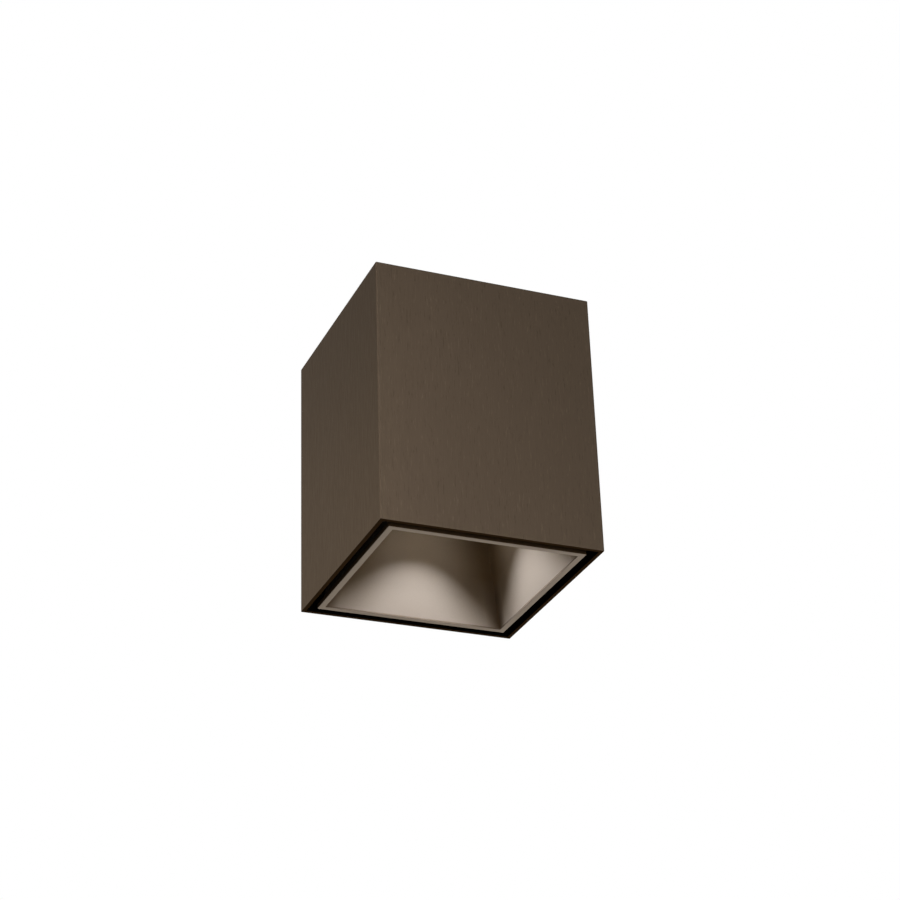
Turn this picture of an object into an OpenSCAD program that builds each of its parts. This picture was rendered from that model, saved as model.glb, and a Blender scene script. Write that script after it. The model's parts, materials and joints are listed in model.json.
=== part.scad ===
// Square surface-mounted ceiling downlight, with its driver inside.
// The origin is the middle of the ceiling plane and +Z is up, so the light hangs below z = 0.
// The stack is built upwards from the lower edge: reflector, light source, heat sink, gear tray.

/* [Housing] */
// Outer width and depth of the square housing
body_w = 80; // [78:1:110]
// Height of the housing, from the ceiling to its lower edge
body_h = 97.5; // [95:0.5:140]
// Thickness of the housing's walls
wall_t = 1.5; // [1:0.1:2]
// Radius of the housing's four upright edges
edge_r = 0.4; // [0.2:0.1:0.9]

/* [Reflector] */
// Shadow gap between the housing's wall and the reflector's rim
gap_w = 3; // [2:0.25:4]
// Width of the flat rim round the reflector's mouth
rim_w = 2.2; // [1.5:0.1:4]
// Height of the rim's outer side
rim_t = 1.7; // [1.2:0.1:3]
// Height of the upright lip inside the rim
lip_h = 0.6; // [0.2:0.1:1]
// Lean of the reflector's four walls from upright, in degrees
taper_deg = 12; // [8:0.5:14]
// Depth of the reflector, from its rim to the plate at its top
refl_depth = 37.5; // [32:0.5:40]
// Thickness of the reflector's walls
refl_t = 1.2; // [0.8:0.1:2]
// Diameter of the round hole in the reflector's top plate
aperture_d = 25.4; // [22:0.2:29]
// Thickness of the top plate that is left below the glass
ledge_t = 0.8; // [0.6:0.1:1.5]

/* [Optics] */
// Diameter of the cover glass
glass_d = 30.5; // [29.5:0.5:32]
// Thickness of the cover glass
glass_t = 1.2; // [0.8:0.1:2]
// Diameter of the glare cone's flange
flange_d = 36; // [34:0.5:38]
// Thickness of the glare cone's flange and wall
cone_t = 0.8; // [0.6:0.1:1.2]
// Diameter of the glare cone's upper mouth
cone_top_d = 13; // [11:0.5:14]
// Thickness of the steel keeper ring on the reflector
keeper_t = 1; // [0.6:0.1:1.5]
// Outer diameter of the keeper ring
keeper_d = 51; // [50:0.5:52]
// Inner diameter of the keeper ring
keeper_bore_d = 33; // [32:0.5:33.5]

/* [Optic carrier] */
// Outer diameter of the ring that holds the reflector
carrier_d = 54; // [53:0.5:56]
// Inner diameter of that ring
carrier_bore_d = 39; // [38:0.5:39.5]
// Height of that ring
carrier_h = 14.1; // [13:0.1:16]
// Diameter of the holding magnets
magnet_d = 6; // [4:0.5:6]
// Thickness of the holding magnets
magnet_t = 3; // [2:0.5:5]

/* [Light source] */
// Side of the square light-emitting board
board_w = 16; // [13:0.5:17]
// Thickness of that board
board_t = 1; // [0.8:0.1:1.5]
// Diameter of its glowing disc
emitter_d = 6; // [4:0.5:9.5]
// Thickness of the thermal pad behind it
pad_t = 0.2; // [0.1:0.1:0.5]
// Diameter of the plastic holder that clamps the board
holder_d = 30; // [29:0.5:32]
// Height of that holder
holder_h = 3.2; // [2.6:0.1:3.4]
// Distance between the holder's two screws
holder_pitch = 23.4; // [23:0.2:24]

/* [Heat sink] */
// Thickness of the heat sink's base plate
base_t = 4; // [3:0.5:6]
// Thickness of a fin
fin_t = 1.6; // [1:0.1:2]
// Distance from one fin to the next
fin_pitch = 6; // [5.6:0.1:6.4]
// Side of the square blocks welded in the housing's corners
block_w = 9; // [8:0.5:10]
// Height of those blocks
block_h = 8; // [6:0.5:12]

// Gap between the fins' tips and the gear tray
fin_room = 1; // [0.8:0.1:3]

/* [Gear tray] */
// Room between the ceiling and the gear tray's upper face
gear_room = 25.8; // [25.8:0.1:27]
// Width across the standoffs' flats
standoff_af = 5.5; // [5:0.1:6]
// Thickness of the gear tray
tray_t = 1.2; // [0.8:0.1:2]
// Length of the driver's case
driver_l = 56; // [50:0.5:57]
// Width of the driver's case
driver_w = 28; // [24:0.5:28]
// Height of the driver's case and lid
driver_h = 15; // [13.5:0.5:17]
// Thickness of the driver case's walls
driver_wall = 1.2; // [1:0.1:1.6]

/* [Terminal block] */
// Distance from one pole to the next
pole_pitch = 8; // [7:0.25:8.5]
// Width of the block, along the wires
block_d = 16; // [14:0.5:17]
// Height of the block
term_h = 11.8; // [11.6:0.2:13]
// Side of the square release buttons
button_w = 4.3; // [3.6:0.1:4.5]
// Travel of the release buttons
button_travel = 1.5; // [1:0.1:1.8]

/* [Ceiling bracket] */
// Thickness of the bracket's sheet steel
bracket_t = 1.5; // [1:0.1:2]
// Length of the bracket's down-turned ears
ear_l = 20; // [19:0.5:21]
// Width of the bracket's ears
ear_w = 44; // [36:1:50]
// Thickness of the leaf springs
spring_t = 0.4; // [0.3:0.05:0.5]
// Room for the leaf springs between the side ears and the housing
spring_room = 2.5; // [2.2:0.1:3]
// Distance between opposite fixing slots
slot_pitch = 50; // [44:1:52]
// Width of a fixing slot
slot_w = 4.5; // [3.5:0.1:5.5]
// Length of a fixing slot from end to end
slot_l = 12; // [8:0.5:13]
// Diameter of the cable hole through the grommet
cable_d = 9; // [7:0.5:10]

/* [Fits] */
// Gap between the reflector's keeper and the magnets
seat_gap = 0.1; // [0.05:0.05:0.3]
// Gap on each side of the heat sink and the tray
tray_clear = 0.5; // [0.3:0.1:1]
// Gap between the bracket's guide ears, or its springs, and the housing
guide_clear = 0.2; // [0.1:0.05:0.4]
// Gap on each side of a release button
button_clear = 0.15; // [0.1:0.05:0.25]
// Gap all round a piece that is laid in a pocket
pocket_clear = 0.1; // [0.05:0.05:0.2]
// Gap between a screw's shank and its thread
thread_clear = 0.05; // [0.03:0.01:0.1]

/* [Hidden] */
$fn = 48;
eps = 0.01;

// Colours
bronze = [0.31, 0.26, 0.22];
satin_bronze = [0.55, 0.50, 0.45];
zinc = [0.72, 0.73, 0.75];
raw_aluminium = [0.80, 0.81, 0.83];
black = [0.08, 0.08, 0.08];
off_white = [0.90, 0.89, 0.86];
orange = [0.90, 0.45, 0.10];
copper = [0.80, 0.50, 0.30];

// Housing
inner = body_w / 2 - wall_t;

// Reflector, from its mouth upwards
// In a low housing the reflector and its carrier take no more than a share of the height
refl_share = 0.385;
carrier_share = 0.145;
refl_h = min(refl_depth, refl_share * body_h);
ring_h = min(carrier_h, carrier_share * body_h);
z_rim = -body_h;
z_plate = z_rim + refl_h;
z_glass = z_plate + ledge_t;
z_flange = z_glass + glass_t;
z_keeper = z_flange + cone_t;
z_carrier = z_keeper + keeper_t + seat_gap;
rim_half = inner - gap_w;
mouth_half = rim_half - rim_w;
top_half = mouth_half - (refl_h - lip_h) * tan(taper_deg);
skin_t = refl_t / cos(taper_deg);

// Light source and heat sink
z_sink = z_carrier + ring_h;
z_fins = z_sink + base_t;
z_board = z_sink - pad_t - board_t;
z_gear = -gear_room;
z_tray = z_gear - tray_t;
standoff_h = z_tray - z_fins;
standoff_bore = 0.6 * standoff_h;
fin_h = standoff_h - fin_room;
emitter_t = 0.3;
sink_half = inner - tray_clear;
post_at = inner - block_w / 2;
fin_half = post_at - block_w / 2 - fin_room;
fins_a_side = floor((sink_half - fin_t / 2) / fin_pitch + 0.5);
ring_r = (carrier_d + carrier_bore_d) / 4;
pin_r = (keeper_d - keeper_bore_d) / 4 + keeper_bore_d / 2 + 1;
pin_deep = 2;
cone_top_gap = 0.4;

// The LED leads pass between the third and fourth fin from the middle
lead_x = 17.4;
lead_d = 1.3;
lead_space = 0.1;
lead_step = (lead_d + lead_space) / 2;
lead_hole_d = 3.4;
lead_z = z_board - lead_d / 2;
wire_d = 1.8;

// Screws: shank diameter, head diameter and head height
tap_floor = 0.5;
screw_proud = 0.8;
screw_grip = 3;
m3 = 3;
m3_head = 5.5;
m3_head_h = 2;
m3_low_head = 4.8;
m3_low_head_h = 1.4;
m2 = 2;
socket_af = 2.5;
shank_clear = 0.2;

// Gear tray
driver_wall_gap = 5.5;
lead_room = 5;
case_w = min(driver_w, inner - driver_wall_gap - lead_room);
driver_y = -inner + driver_wall_gap + case_w / 2;
driver_foot_l = 5;
driver_foot_t = 1.6;
driver_screw_x = driver_l / 2 + driver_foot_l / 2;
lid_h = 4;
board_level = 3.2;
pcb_t = 1.6;
core_x = 4;
core_l = 16;
core_w = 14;
core_t = 2.2;
core_gap = 3.4;
core_leg = 3.2;
bobbin_d = 8.8;
can_x = 19;
can_d = 8;
can_front_gap = 5;
can_y = case_w / 2 - can_front_gap - can_d / 2;
small_can_d = 6.3;
can_h = 7;
film_l = 6;
film_w = 4;
film_h = 6;
driver_front = driver_y + case_w / 2;

// Terminal block
poles = 3;
term_x = -8;
term_wall_gap = 10.5;
term_y = inner - term_wall_gap - block_d / 2;
block_front = term_y - block_d / 2;
term_w = poles * pole_pitch + 2;
term_foot_l = 5;
term_foot_t = 2;
term_screw_x = term_w / 2 + term_foot_l / 2;
term_floor = 1.5;
chamber_w = 5.6;
chamber_h = 5.8;
chamber_d = block_d - 4;
port_d = 3;
port_mouth_d = 4.4;
port_level = 5;
button_up = button_travel + 0.1;
button_h = 6.4;

// Cable clamp and earth screw
clamp_wall_gap = 13.5;
clamp_x = inner - clamp_wall_gap;
clamp_y = term_y;
clamp_w = 8;
clamp_t = 1.2;
clamp_foot = 6;
clamp_bore = 7;
clamp_side = 3;
clamp_pitch = clamp_bore + 2 * clamp_t + clamp_foot;
earth_wall_gap = 10.5;
earth_x = -inner + earth_wall_gap;
earth_y = (driver_front + block_front) / 2;
lug_reach = 2;
lug_barrel_l = 3.8;
lug_barrel_d = 2.8;
m4 = 4;
m4_head = 7;
m4_head_h = 2.6;
lug_t = 0.8;

// Ceiling bracket
ear_x = inner - spring_room;
ear_y = inner - guide_clear;
corner_cut = 9;
dish_d = 26;
dish_deep = 1.8;
grommet_hole_d = cable_d + 5;
grommet_flange_d = cable_d + 9;
grommet_lip = 1.2;
spring_w = 24;
rivet_d = 3;
rivet_head = 5;
rivet_head_h = 0.7;
rivet_y = 8;
rivet_z = -6;
spring_top = -3;
bow_top = -9;
bow_bottom = -ear_l + 0.5;

// Routes of the wires. The two mains wires and the two LED leads start on the driver's board
// and leave its case through holes in the front wall.
board_top = z_gear + board_level + pcb_t;
outlet_z = z_gear + 6.6;
solder_y = driver_front - 3.4;
mains_in = 4;
port_z = z_gear + port_level;
// Y at a share of the way from the driver's front to the terminal block
function across(share) = driver_front + share * (block_front - driver_front);
// Z at a share of the way from the gear tray down to the heat sink's lower face
function down(share) = z_tray + share * (z_sink - z_tray);
function from_board(x) = [
    [x, solder_y, board_top], [x, solder_y, board_top + 0.8],
    [x, solder_y + 1, outlet_z - 0.1], [x, driver_front - driver_wall, outlet_z],
    [x, driver_front, outlet_z]];
// X of a pole, counted from 0 at the live end
function pole_x(i) = term_x + ((poles - 1) / 2 - i) * pole_pitch;
function into_port(x) = [[x, block_front, port_z], [x, block_front + 2, port_z]];
// A mains wire rises in a bow between two X places; bow is the height of its crest
function mains_route(start, end, bow) = concat(from_board(start), [
    [start + 0.05 * (end - start), across(0.1), outlet_z + 0.1 * bow],
    [start + 0.2 * (end - start), across(0.3), outlet_z + 0.6 * bow],
    [start + 0.4 * (end - start), across(0.5), outlet_z + bow],
    [start + 0.65 * (end - start), across(0.65), outlet_z + 0.93 * bow],
    [start + 0.85 * (end - start), across(0.8), outlet_z + 0.45 * bow],
    [start + 0.97 * (end - start), across(0.9), outlet_z - 0.11 * bow]], into_port(end));
live_route = mains_route(mains_in, pole_x(0), 5);
neutral_route = mains_route(-mains_in, pole_x(1), 5.6);
lug_end = earth_x + lug_reach + lug_barrel_l;
lug_out = lug_end + 1.4;
lug_z = z_gear + lug_barrel_d / 2;
// X at a share of the way from the lug to the earth pole
function to_earth(share) = lug_out + share * (pole_x(2) - lug_out);
earth_route = concat([
    [lug_end, earth_y, lug_z], [lug_out, earth_y, lug_z],
    [to_earth(0.3), across(0.53), z_gear + 3], [to_earth(0.67), across(0.6), z_gear + 5.2],
    [to_earth(0.9), across(0.74), z_gear + 6], [to_earth(0.98), across(0.88), z_gear + 5.6]],
    into_port(pole_x(2)));
lead_route = concat(from_board(lead_x), [
    [lead_x, driver_front + 1.8, outlet_z - 0.1], [lead_x, driver_front + 3.8, outlet_z - 0.8],
    [lead_x, -0.2, outlet_z - 2.4], [lead_x, 0, z_gear + 1.8], [lead_x, 0, down(0)],
    [lead_x, 0, down(0.33)], [lead_x, 0, down(0.67)], [lead_x, 0, down(0.9)],
    [lead_x - 0.3, 0, z_sink - 0.2], [lead_x - 1.3, 0, z_sink - 1.4],
    [lead_x - 2.8, 0, lead_z], [lead_x - 6, 0, lead_z], [board_w / 2 - 0.8, 0, lead_z]]);

// ---------- Shared shapes ----------

// A block with rounded upright edges, standing on z = 0
module round_block(w, d, h, r) {
    linear_extrude(h) {
        square([w - 2 * r, d], center = true);
        square([w, d - 2 * r], center = true);
        for (x = [-1, 1], y = [-1, 1])
            translate([x * (w / 2 - r), y * (d / 2 - r)]) circle(r);
    }
}

// A slot through a plate, along X, with round ends
module slot(length, width, h) {
    linear_extrude(h) {
        square([length - width, width], center = true);
        for (x = [-1, 1]) translate([x * (length - width) / 2, 0]) circle(width / 2);
    }
}

// Repeats its children at the four corners of a square
module at_corners(half) {
    for (x = [-1, 1], y = [-1, 1]) translate([x * half, y * half, 0]) children();
}

// Repeats its children at both ends of a line along X
module at_both_x(half) {
    for (x = [-1, 1]) translate([x * half, 0, 0]) children();
}

// A cap screw whose head sits on z = 0, with its shank downwards and a hexagon socket in its head
module cap_screw(d, head, head_h, shank, af) {
    difference() {
        union() {
            cylinder(d = head, h = head_h);
            translate([0, 0, -shank]) cylinder(d = d - 2 * thread_clear, h = shank + eps);
        }
        translate([0, 0, head_h * 0.4]) cylinder(d = af / cos(30), h = head_h, $fn = 6);
    }
}

// The solid whose half width at each height is the same along X and along Y.
// half_outline lists [half width, height] points from the bottom to the top.
module square_tower(half_outline) {
    last = len(half_outline) - 1;
    outline = concat(
        half_outline,
        [for (i = [last : -1 : 0]) [-half_outline[i].x, half_outline[i].y]]);
    reach = 2 * body_w;
    intersection() {
        rotate([90, 0, 0]) linear_extrude(reach, center = true) polygon(outline);
        rotate([90, 0, 90]) linear_extrude(reach, center = true) polygon(outline);
    }
}

// ---------- Wires: a round tube swept along a smooth curve through the route's points ----------

function unit(v) = v / norm(v);

function curve_point(a, b, c, d, t) =
    (2 * b + (c - a) * t + (2 * a - 5 * b + 4 * c - d) * t * t
        + (3 * b - a - 3 * c + d) * t * t * t) / 2;

function smooth_route(p, steps) = concat(
    [for (i = [0 : len(p) - 2], k = [0 : steps - 1])
        curve_point(p[max(i - 1, 0)], p[i], p[i + 1], p[min(i + 2, len(p) - 1)], k / steps)],
    [p[len(p) - 1]]);

// The first and last headings follow the route's end stretches, so that the ends are cut square
function headings(p, route) = concat(
    [unit(route[1] - route[0])],
    [for (i = [1 : len(p) - 2]) unit(p[i + 1] - p[i - 1])],
    [unit(route[len(route) - 1] - route[len(route) - 2])]);

// Carries a side direction along the headings without twisting it
function sides_of(h, i = 0, found = []) =
    i == len(h) ? found
    : let (start = abs(h[0].z) < 0.9 ? [0, 0, 1] : [1, 0, 0],
           before = i == 0 ? start : found[i - 1],
           side = unit(before - (before * h[i]) * h[i]))
      sides_of(h, i + 1, concat(found, [side]));

module wire(route, d, steps = 3, around = 8) {
    p = smooth_route(route, steps);
    h = headings(p, route);
    s = sides_of(h);
    rings = len(p);
    points = [for (i = [0 : rings - 1], k = [0 : around - 1])
        let (a = 360 * k / around)
        p[i] + d / 2 * (cos(a) * s[i] + sin(a) * cross(h[i], s[i]))];
    walls = [for (i = [0 : rings - 2], k = [0 : around - 1])
        let (n = (k + 1) % around, low = i * around, high = (i + 1) * around)
        each [[low + k, high + k, high + n], [low + k, high + n, low + n]]];
    start_cap = [for (k = [0 : around - 1]) k];
    end_cap = [for (k = [around - 1 : -1 : 0]) (rings - 1) * around + k];
    polyhedron(points, concat(walls, [start_cap, end_cap]));
}

// ---------- Housing ----------

module housing() {
    color(bronze) difference() {
        translate([0, 0, -body_h]) round_block(body_w, body_w, body_h, edge_r);
        translate([-inner, -inner, -body_h - 1]) cube([2 * inner, 2 * inner, body_h + 2]);
    }
}

// Threaded blocks welded into the housing's corners, which carry the heat sink
module corner_blocks() {
    color(raw_aluminium) at_corners(post_at) translate([0, 0, z_sink - block_h]) difference() {
        translate([-block_w / 2, -block_w / 2, 0]) cube([block_w, block_w, block_h]);
        translate([0, 0, -1]) cylinder(d = m3, h = block_h + 2);
    }
}

// ---------- Heat sink ----------

module heat_sink() {
    color(raw_aluminium) difference() {
        union() {
            translate([-sink_half, -sink_half, z_sink]) cube([2 * sink_half, 2 * sink_half, base_t]);
            for (side = [-1, 1], i = [1 : fins_a_side])
                translate([side * (i - 0.5) * fin_pitch - fin_t / 2, -fin_half, z_fins - eps])
                    cube([fin_t, 2 * fin_half, fin_h + eps]);
        }
        translate([0, 0, z_sink - 1]) {
            at_corners(post_at) cylinder(d = m3 + 2 * shank_clear, h = base_t + 2);
            at_both_x(ring_r) cylinder(d = m3, h = base_t + 1 - tap_floor);
            rotate([0, 0, 90]) at_both_x(holder_pitch / 2)
                cylinder(d = m3, h = base_t + 1 - tap_floor);
            translate([lead_x, 0, 0]) cylinder(d = lead_hole_d, h = base_t + 2);
        }
    }
}

// ---------- Gear tray and what stands on it ----------

// Male-female hex standoffs, which clamp the heat sink to the corner blocks and carry the tray
module standoffs() {
    thread = block_h - 2;
    color(zinc) at_corners(post_at) translate([0, 0, z_fins]) difference() {
        union() {
            cylinder(d = standoff_af / cos(30), h = standoff_h, $fn = 6);
            translate([0, 0, -base_t - thread])
                cylinder(d = m3 - 2 * thread_clear, h = base_t + thread + eps);
        }
        translate([0, 0, standoff_h - standoff_bore]) cylinder(d = m3, h = standoff_bore + 1);
    }
}

module gear_tray() {
    lead_bush_d = lead_hole_d + 2;
    color(zinc) difference() {
        translate([0, 0, z_tray]) round_block(2 * sink_half, 2 * sink_half, tray_t, 2);
        translate([0, 0, z_tray - 1]) {
            at_corners(post_at) cylinder(d = m3 + 2 * shank_clear, h = tray_t + 2);
            translate([0, driver_y, 0]) at_both_x(driver_screw_x) cylinder(d = m3, h = tray_t + 2);
            translate([term_x, term_y, 0]) at_both_x(term_screw_x) cylinder(d = m3, h = tray_t + 2);
            translate([clamp_x, clamp_y, 0]) at_both_x(clamp_pitch / 2)
                cylinder(d = m3, h = tray_t + 2);
            translate([earth_x, earth_y, 0]) cylinder(d = m4, h = tray_t + 2);
            translate([lead_x, 0, 0]) cylinder(d = lead_bush_d, h = tray_t + 2);
        }
    }
}

module tray_screws() {
    color(zinc) at_corners(post_at) translate([0, 0, z_gear])
        cap_screw(m3, m3_head, m3_head_h, tray_t + standoff_bore - 1, socket_af);
}

module driver_case() {
    floor_h = driver_h - lid_h;
    foot_w = 12;
    color(off_white) translate([0, driver_y, z_gear]) difference() {
        union() {
            round_block(driver_l, case_w, floor_h, 1.5);
            translate([-driver_l / 2 - driver_foot_l, -foot_w / 2, 0])
                cube([driver_l + 2 * driver_foot_l, foot_w, driver_foot_t]);
        }
        translate([0, 0, driver_wall])
            round_block(driver_l - 2 * driver_wall, case_w - 2 * driver_wall, floor_h, 0.8);
        translate([0, 0, -1]) at_both_x(driver_screw_x)
            cylinder(d = m3 + 2 * shank_clear, h = driver_foot_t + 2);
        translate([0, case_w / 2, outlet_z - z_gear]) {
            at_both_x(mains_in) rotate([90, 0, 0])
                cylinder(d = wire_d + 2 * pocket_clear, h = 3 * driver_wall, center = true);
            for (side = [-1, 1]) translate([lead_x + side * lead_step, 0, 0]) rotate([90, 0, 0])
                cylinder(d = lead_d + 2 * pocket_clear, h = 3 * driver_wall, center = true);
        }
    }
}

// The lid's inner wall drops into the case all round
module driver_lid() {
    skirt_h = 1.5;
    skirt_l = driver_l - 2 * driver_wall - 2 * pocket_clear;
    skirt_w = case_w - 2 * driver_wall - 2 * pocket_clear;
    color(off_white) translate([0, driver_y, z_gear + driver_h - lid_h]) difference() {
        union() {
            round_block(driver_l, case_w, lid_h, 1.5);
            translate([0, 0, -skirt_h]) round_block(skirt_l, skirt_w, skirt_h + eps, 0.7);
        }
        translate([0, 0, -skirt_h - 1])
            round_block(skirt_l - 2 * driver_wall, skirt_w - 2 * driver_wall,
                        lid_h + skirt_h + 1 - driver_wall, 0.4);
    }
}

// The board rests on four studs of its own, on the case's floor
module driver_board() {
    l = driver_l - 2 * driver_wall - 2;
    w = case_w - 2 * driver_wall - 2;
    color("darkgreen") translate([0, driver_y, z_gear + driver_wall]) {
        translate([-l / 2, -w / 2, board_level - driver_wall]) cube([l, w, pcb_t]);
        for (x = [-1, 1], y = [-1, 1]) translate([x * (l / 2 - 3), y * (w / 2 - 3), 0])
            cylinder(d = 3, h = board_level - driver_wall + eps);
    }
}

module driver_transformer() {
    color(black) translate([core_x, driver_y, board_top]) {
        for (z = [0, core_t + core_gap])
            translate([-core_l / 2, -core_w / 2, z]) cube([core_l, core_w, core_t]);
        for (x = [-1, 1])
            translate([x * (core_l - core_leg) / 2 - core_leg / 2, -core_w / 2, core_t - eps])
                cube([core_leg, core_w, core_gap + 2 * eps]);
        translate([0, 0, core_t - eps]) cylinder(d = bobbin_d, h = core_gap + 2 * eps);
    }
}

module driver_capacitors() {
    color([0.15, 0.2, 0.45]) translate([0, driver_y, board_top]) {
        translate([-can_x, -can_y, 0]) cylinder(d = can_d, h = can_h);
        translate([can_x, can_y, 0]) cylinder(d = can_d, h = can_h);
        translate([-can_x / 2, can_y, 0]) cylinder(d = small_can_d, h = can_h);
        translate([-can_x - film_l / 2, can_y, 0]) cube([film_l, film_w, film_h]);
    }
}

module driver_screws() {
    color(zinc) translate([0, driver_y, z_gear + driver_foot_t]) at_both_x(driver_screw_x)
        cap_screw(m3, m3_head - 0.7, m3_head_h, driver_foot_t + tray_t + screw_proud,
            socket_af);
}

// ---------- Terminal block ----------

module terminal_block() {
    well = button_w + 2 * button_clear;
    color(off_white) difference() {
        translate([term_x, term_y, z_gear]) {
            round_block(term_w, block_d, term_h, 0.8);
            round_block(term_w + 2 * term_foot_l, 8, term_foot_t, 0.8);
        }
        translate([term_x, term_y, z_gear - 1]) at_both_x(term_screw_x)
            cylinder(d = m3 + 2 * shank_clear, h = term_foot_t + 2);
        for (i = [0 : poles - 1]) translate([pole_x(i), term_y, z_gear]) {
            translate([-chamber_w / 2, -chamber_d / 2, term_floor])
                cube([chamber_w, chamber_d, chamber_h]);
            translate([-well / 2, -well / 2, term_floor]) cube([well, well, term_h]);
            translate([0, 0, port_level]) rotate([90, 0, 0])
                cylinder(d = port_d, h = block_d + 2, center = true);
            for (side = [-1, 1]) translate([0, side * block_d / 2, port_level]) rotate([90, 0, 0])
                cylinder(d = port_mouth_d, h = 1.6, center = true);
        }
    }
}

// A copper rail and a sprung tongue in each pole, with a stop for each wire's end
module terminal_contacts() {
    rail = [chamber_w - 0.4, chamber_d - 0.4, 1];
    stop_t = 0.8;
    stop_gap = 4;
    color(copper) for (i = [0 : poles - 1]) translate([pole_x(i), term_y, z_gear + term_floor]) {
        translate([-rail.x / 2, -rail.y / 2, 0]) cube(rail);
        for (side = [-1, 1])
            translate([-rail.x / 2, side * stop_gap - stop_t / 2, rail.z - eps])
                cube([rail.x, stop_t, 3.2]);
    }
}

module terminal_screws() {
    color(zinc) translate([term_x, term_y, z_gear + term_foot_t]) at_both_x(term_screw_x)
        cap_screw(m3, m3_head - 0.7, m3_head_h, term_foot_t + tray_t + screw_proud,
            socket_af);
}

module release_button(i) {
    top = term_h + button_up;
    notch = 1;
    color(orange) translate([pole_x(i), term_y, z_gear + top - button_h]) difference() {
        translate([-button_w / 2, -button_w / 2, 0]) cube([button_w, button_w, button_h]);
        translate([-button_w / 2 - 1, -notch / 2, button_h - 0.6]) cube([button_w + 2, notch, 1]);
    }
}

module release_button_live() { release_button(0); }
module release_button_neutral() { release_button(1); }
module release_button_earth() { release_button(2); }

// ---------- Cable clamp and earth ----------

// A saddle with upright sides and a half-round top, over the supply cable
module cable_clamp() {
    span = clamp_pitch + clamp_foot;
    way_r = clamp_bore / 2;
    color(zinc) translate([clamp_x, clamp_y, z_gear]) difference() {
        rotate([90, 0, 0]) linear_extrude(clamp_w, center = true) difference() {
            union() {
                translate([-span / 2, 0]) square([span, clamp_t]);
                translate([-way_r - clamp_t, 0]) square([2 * (way_r + clamp_t), clamp_side]);
                translate([0, clamp_side]) circle(way_r + clamp_t);
            }
            translate([-way_r, -1]) square([2 * way_r, clamp_side + 1]);
            translate([0, clamp_side]) circle(way_r);
            translate([-span, -span]) square([2 * span, span]);
        }
        translate([0, 0, -1]) at_both_x(clamp_pitch / 2)
            cylinder(d = m3 + 2 * shank_clear, h = clamp_t + 2);
    }
}

module cable_clamp_screws() {
    color(zinc) translate([clamp_x, clamp_y, z_gear + clamp_t]) at_both_x(clamp_pitch / 2)
        cap_screw(m3, m3_head - 0.7, m3_head_h, clamp_t + tray_t + screw_proud, socket_af);
}

module earth_screw() {
    color([0.75, 0.62, 0.30]) translate([earth_x, earth_y, z_gear + lug_t])
        cap_screw(m4, m4_head, m4_head_h, lug_t + tray_t + screw_proud, socket_af);
}

// A ring lug with a barrel for its wire
module earth_ring() {
    color(copper) translate([earth_x, earth_y, z_gear]) difference() {
        union() {
            cylinder(d = m4_head + 1, h = lug_t);
            translate([0, -lug_barrel_d / 2, 0])
                cube([lug_reach + lug_barrel_l, lug_barrel_d, lug_t]);
            translate([lug_reach, 0, lug_barrel_d / 2]) rotate([0, 90, 0])
                cylinder(d = lug_barrel_d, h = lug_barrel_l);
        }
        translate([0, 0, -1]) cylinder(d = m4 + 2 * shank_clear, h = lug_t + 2);
        translate([0, 0, lug_t]) cylinder(d = m4_head + 2 * shank_clear, h = 4);
    }
}

module wire_live() { color("saddlebrown") wire(live_route, wire_d); }
module wire_neutral() { color("royalblue") wire(neutral_route, wire_d); }
module wire_earth() { color("yellowgreen") wire(earth_route, wire_d); }

// The two leads run side by side through the tray and the heat sink. They leave the case next
// to each other along X, and a quarter turn brings them next to each other along Y.
module led_lead(side) {
    last_straight = 4;
    turned_at = 9;
    route = [for (i = [0 : len(lead_route) - 1])
        let (turn = 90 * max(0, min(1, (i - last_straight) / (turned_at - last_straight))))
        lead_route[i] + side * lead_step * [cos(turn), sin(turn), 0]];
    wire(route, lead_d);
}
module led_lead_red() { color("firebrick") led_lead(1); }
module led_lead_black() { color(black) led_lead(-1); }

// ---------- Light source ----------

module thermal_pad() {
    color("lightgray") translate([-board_w / 2, -board_w / 2, z_sink - pad_t])
        cube([board_w, board_w, pad_t]);
}

module led_board() {
    color("white") translate([-board_w / 2, -board_w / 2, z_board])
        cube([board_w, board_w, board_t]);
}

module led_emitter() {
    color("khaki") translate([0, 0, z_board - emitter_t]) cylinder(d = emitter_d, h = emitter_t);
}

// The holder's round window opens downwards as a cone, and a channel lets in the two leads
module led_holder() {
    z_low = z_sink - holder_h;
    pocket = board_w + 2 * pocket_clear;
    window_d = emitter_d + 1;
    channel_w = 2 * (lead_step + lead_d / 2 + pocket_clear);
    color(off_white) difference() {
        translate([0, 0, z_low]) cylinder(d = holder_d, h = holder_h);
        translate([-pocket / 2, -pocket / 2, z_board])
            cube([pocket, pocket, pad_t + board_t + 1]);
        translate([0, 0, z_low - eps])
            cylinder(d1 = window_d + 3, d2 = window_d, h = z_board - z_low + 2 * eps);
        translate([0, 0, z_low - 1]) rotate([0, 0, 90]) at_both_x(holder_pitch / 2)
            cylinder(d = m3 + 2 * shank_clear, h = holder_h + 2);
        translate([board_w / 2 - 1, -channel_w / 2, z_board - lead_d - pocket_clear])
            cube([holder_d, channel_w, holder_h]);
    }
}

module led_holder_screws() {
    color(zinc) translate([0, 0, z_sink - holder_h]) rotate([0, 180, 90])
        at_both_x(holder_pitch / 2)
            cap_screw(m3, m3_low_head, m3_low_head_h, holder_h + screw_grip, socket_af);
}

// ---------- Optic carrier ----------

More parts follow.
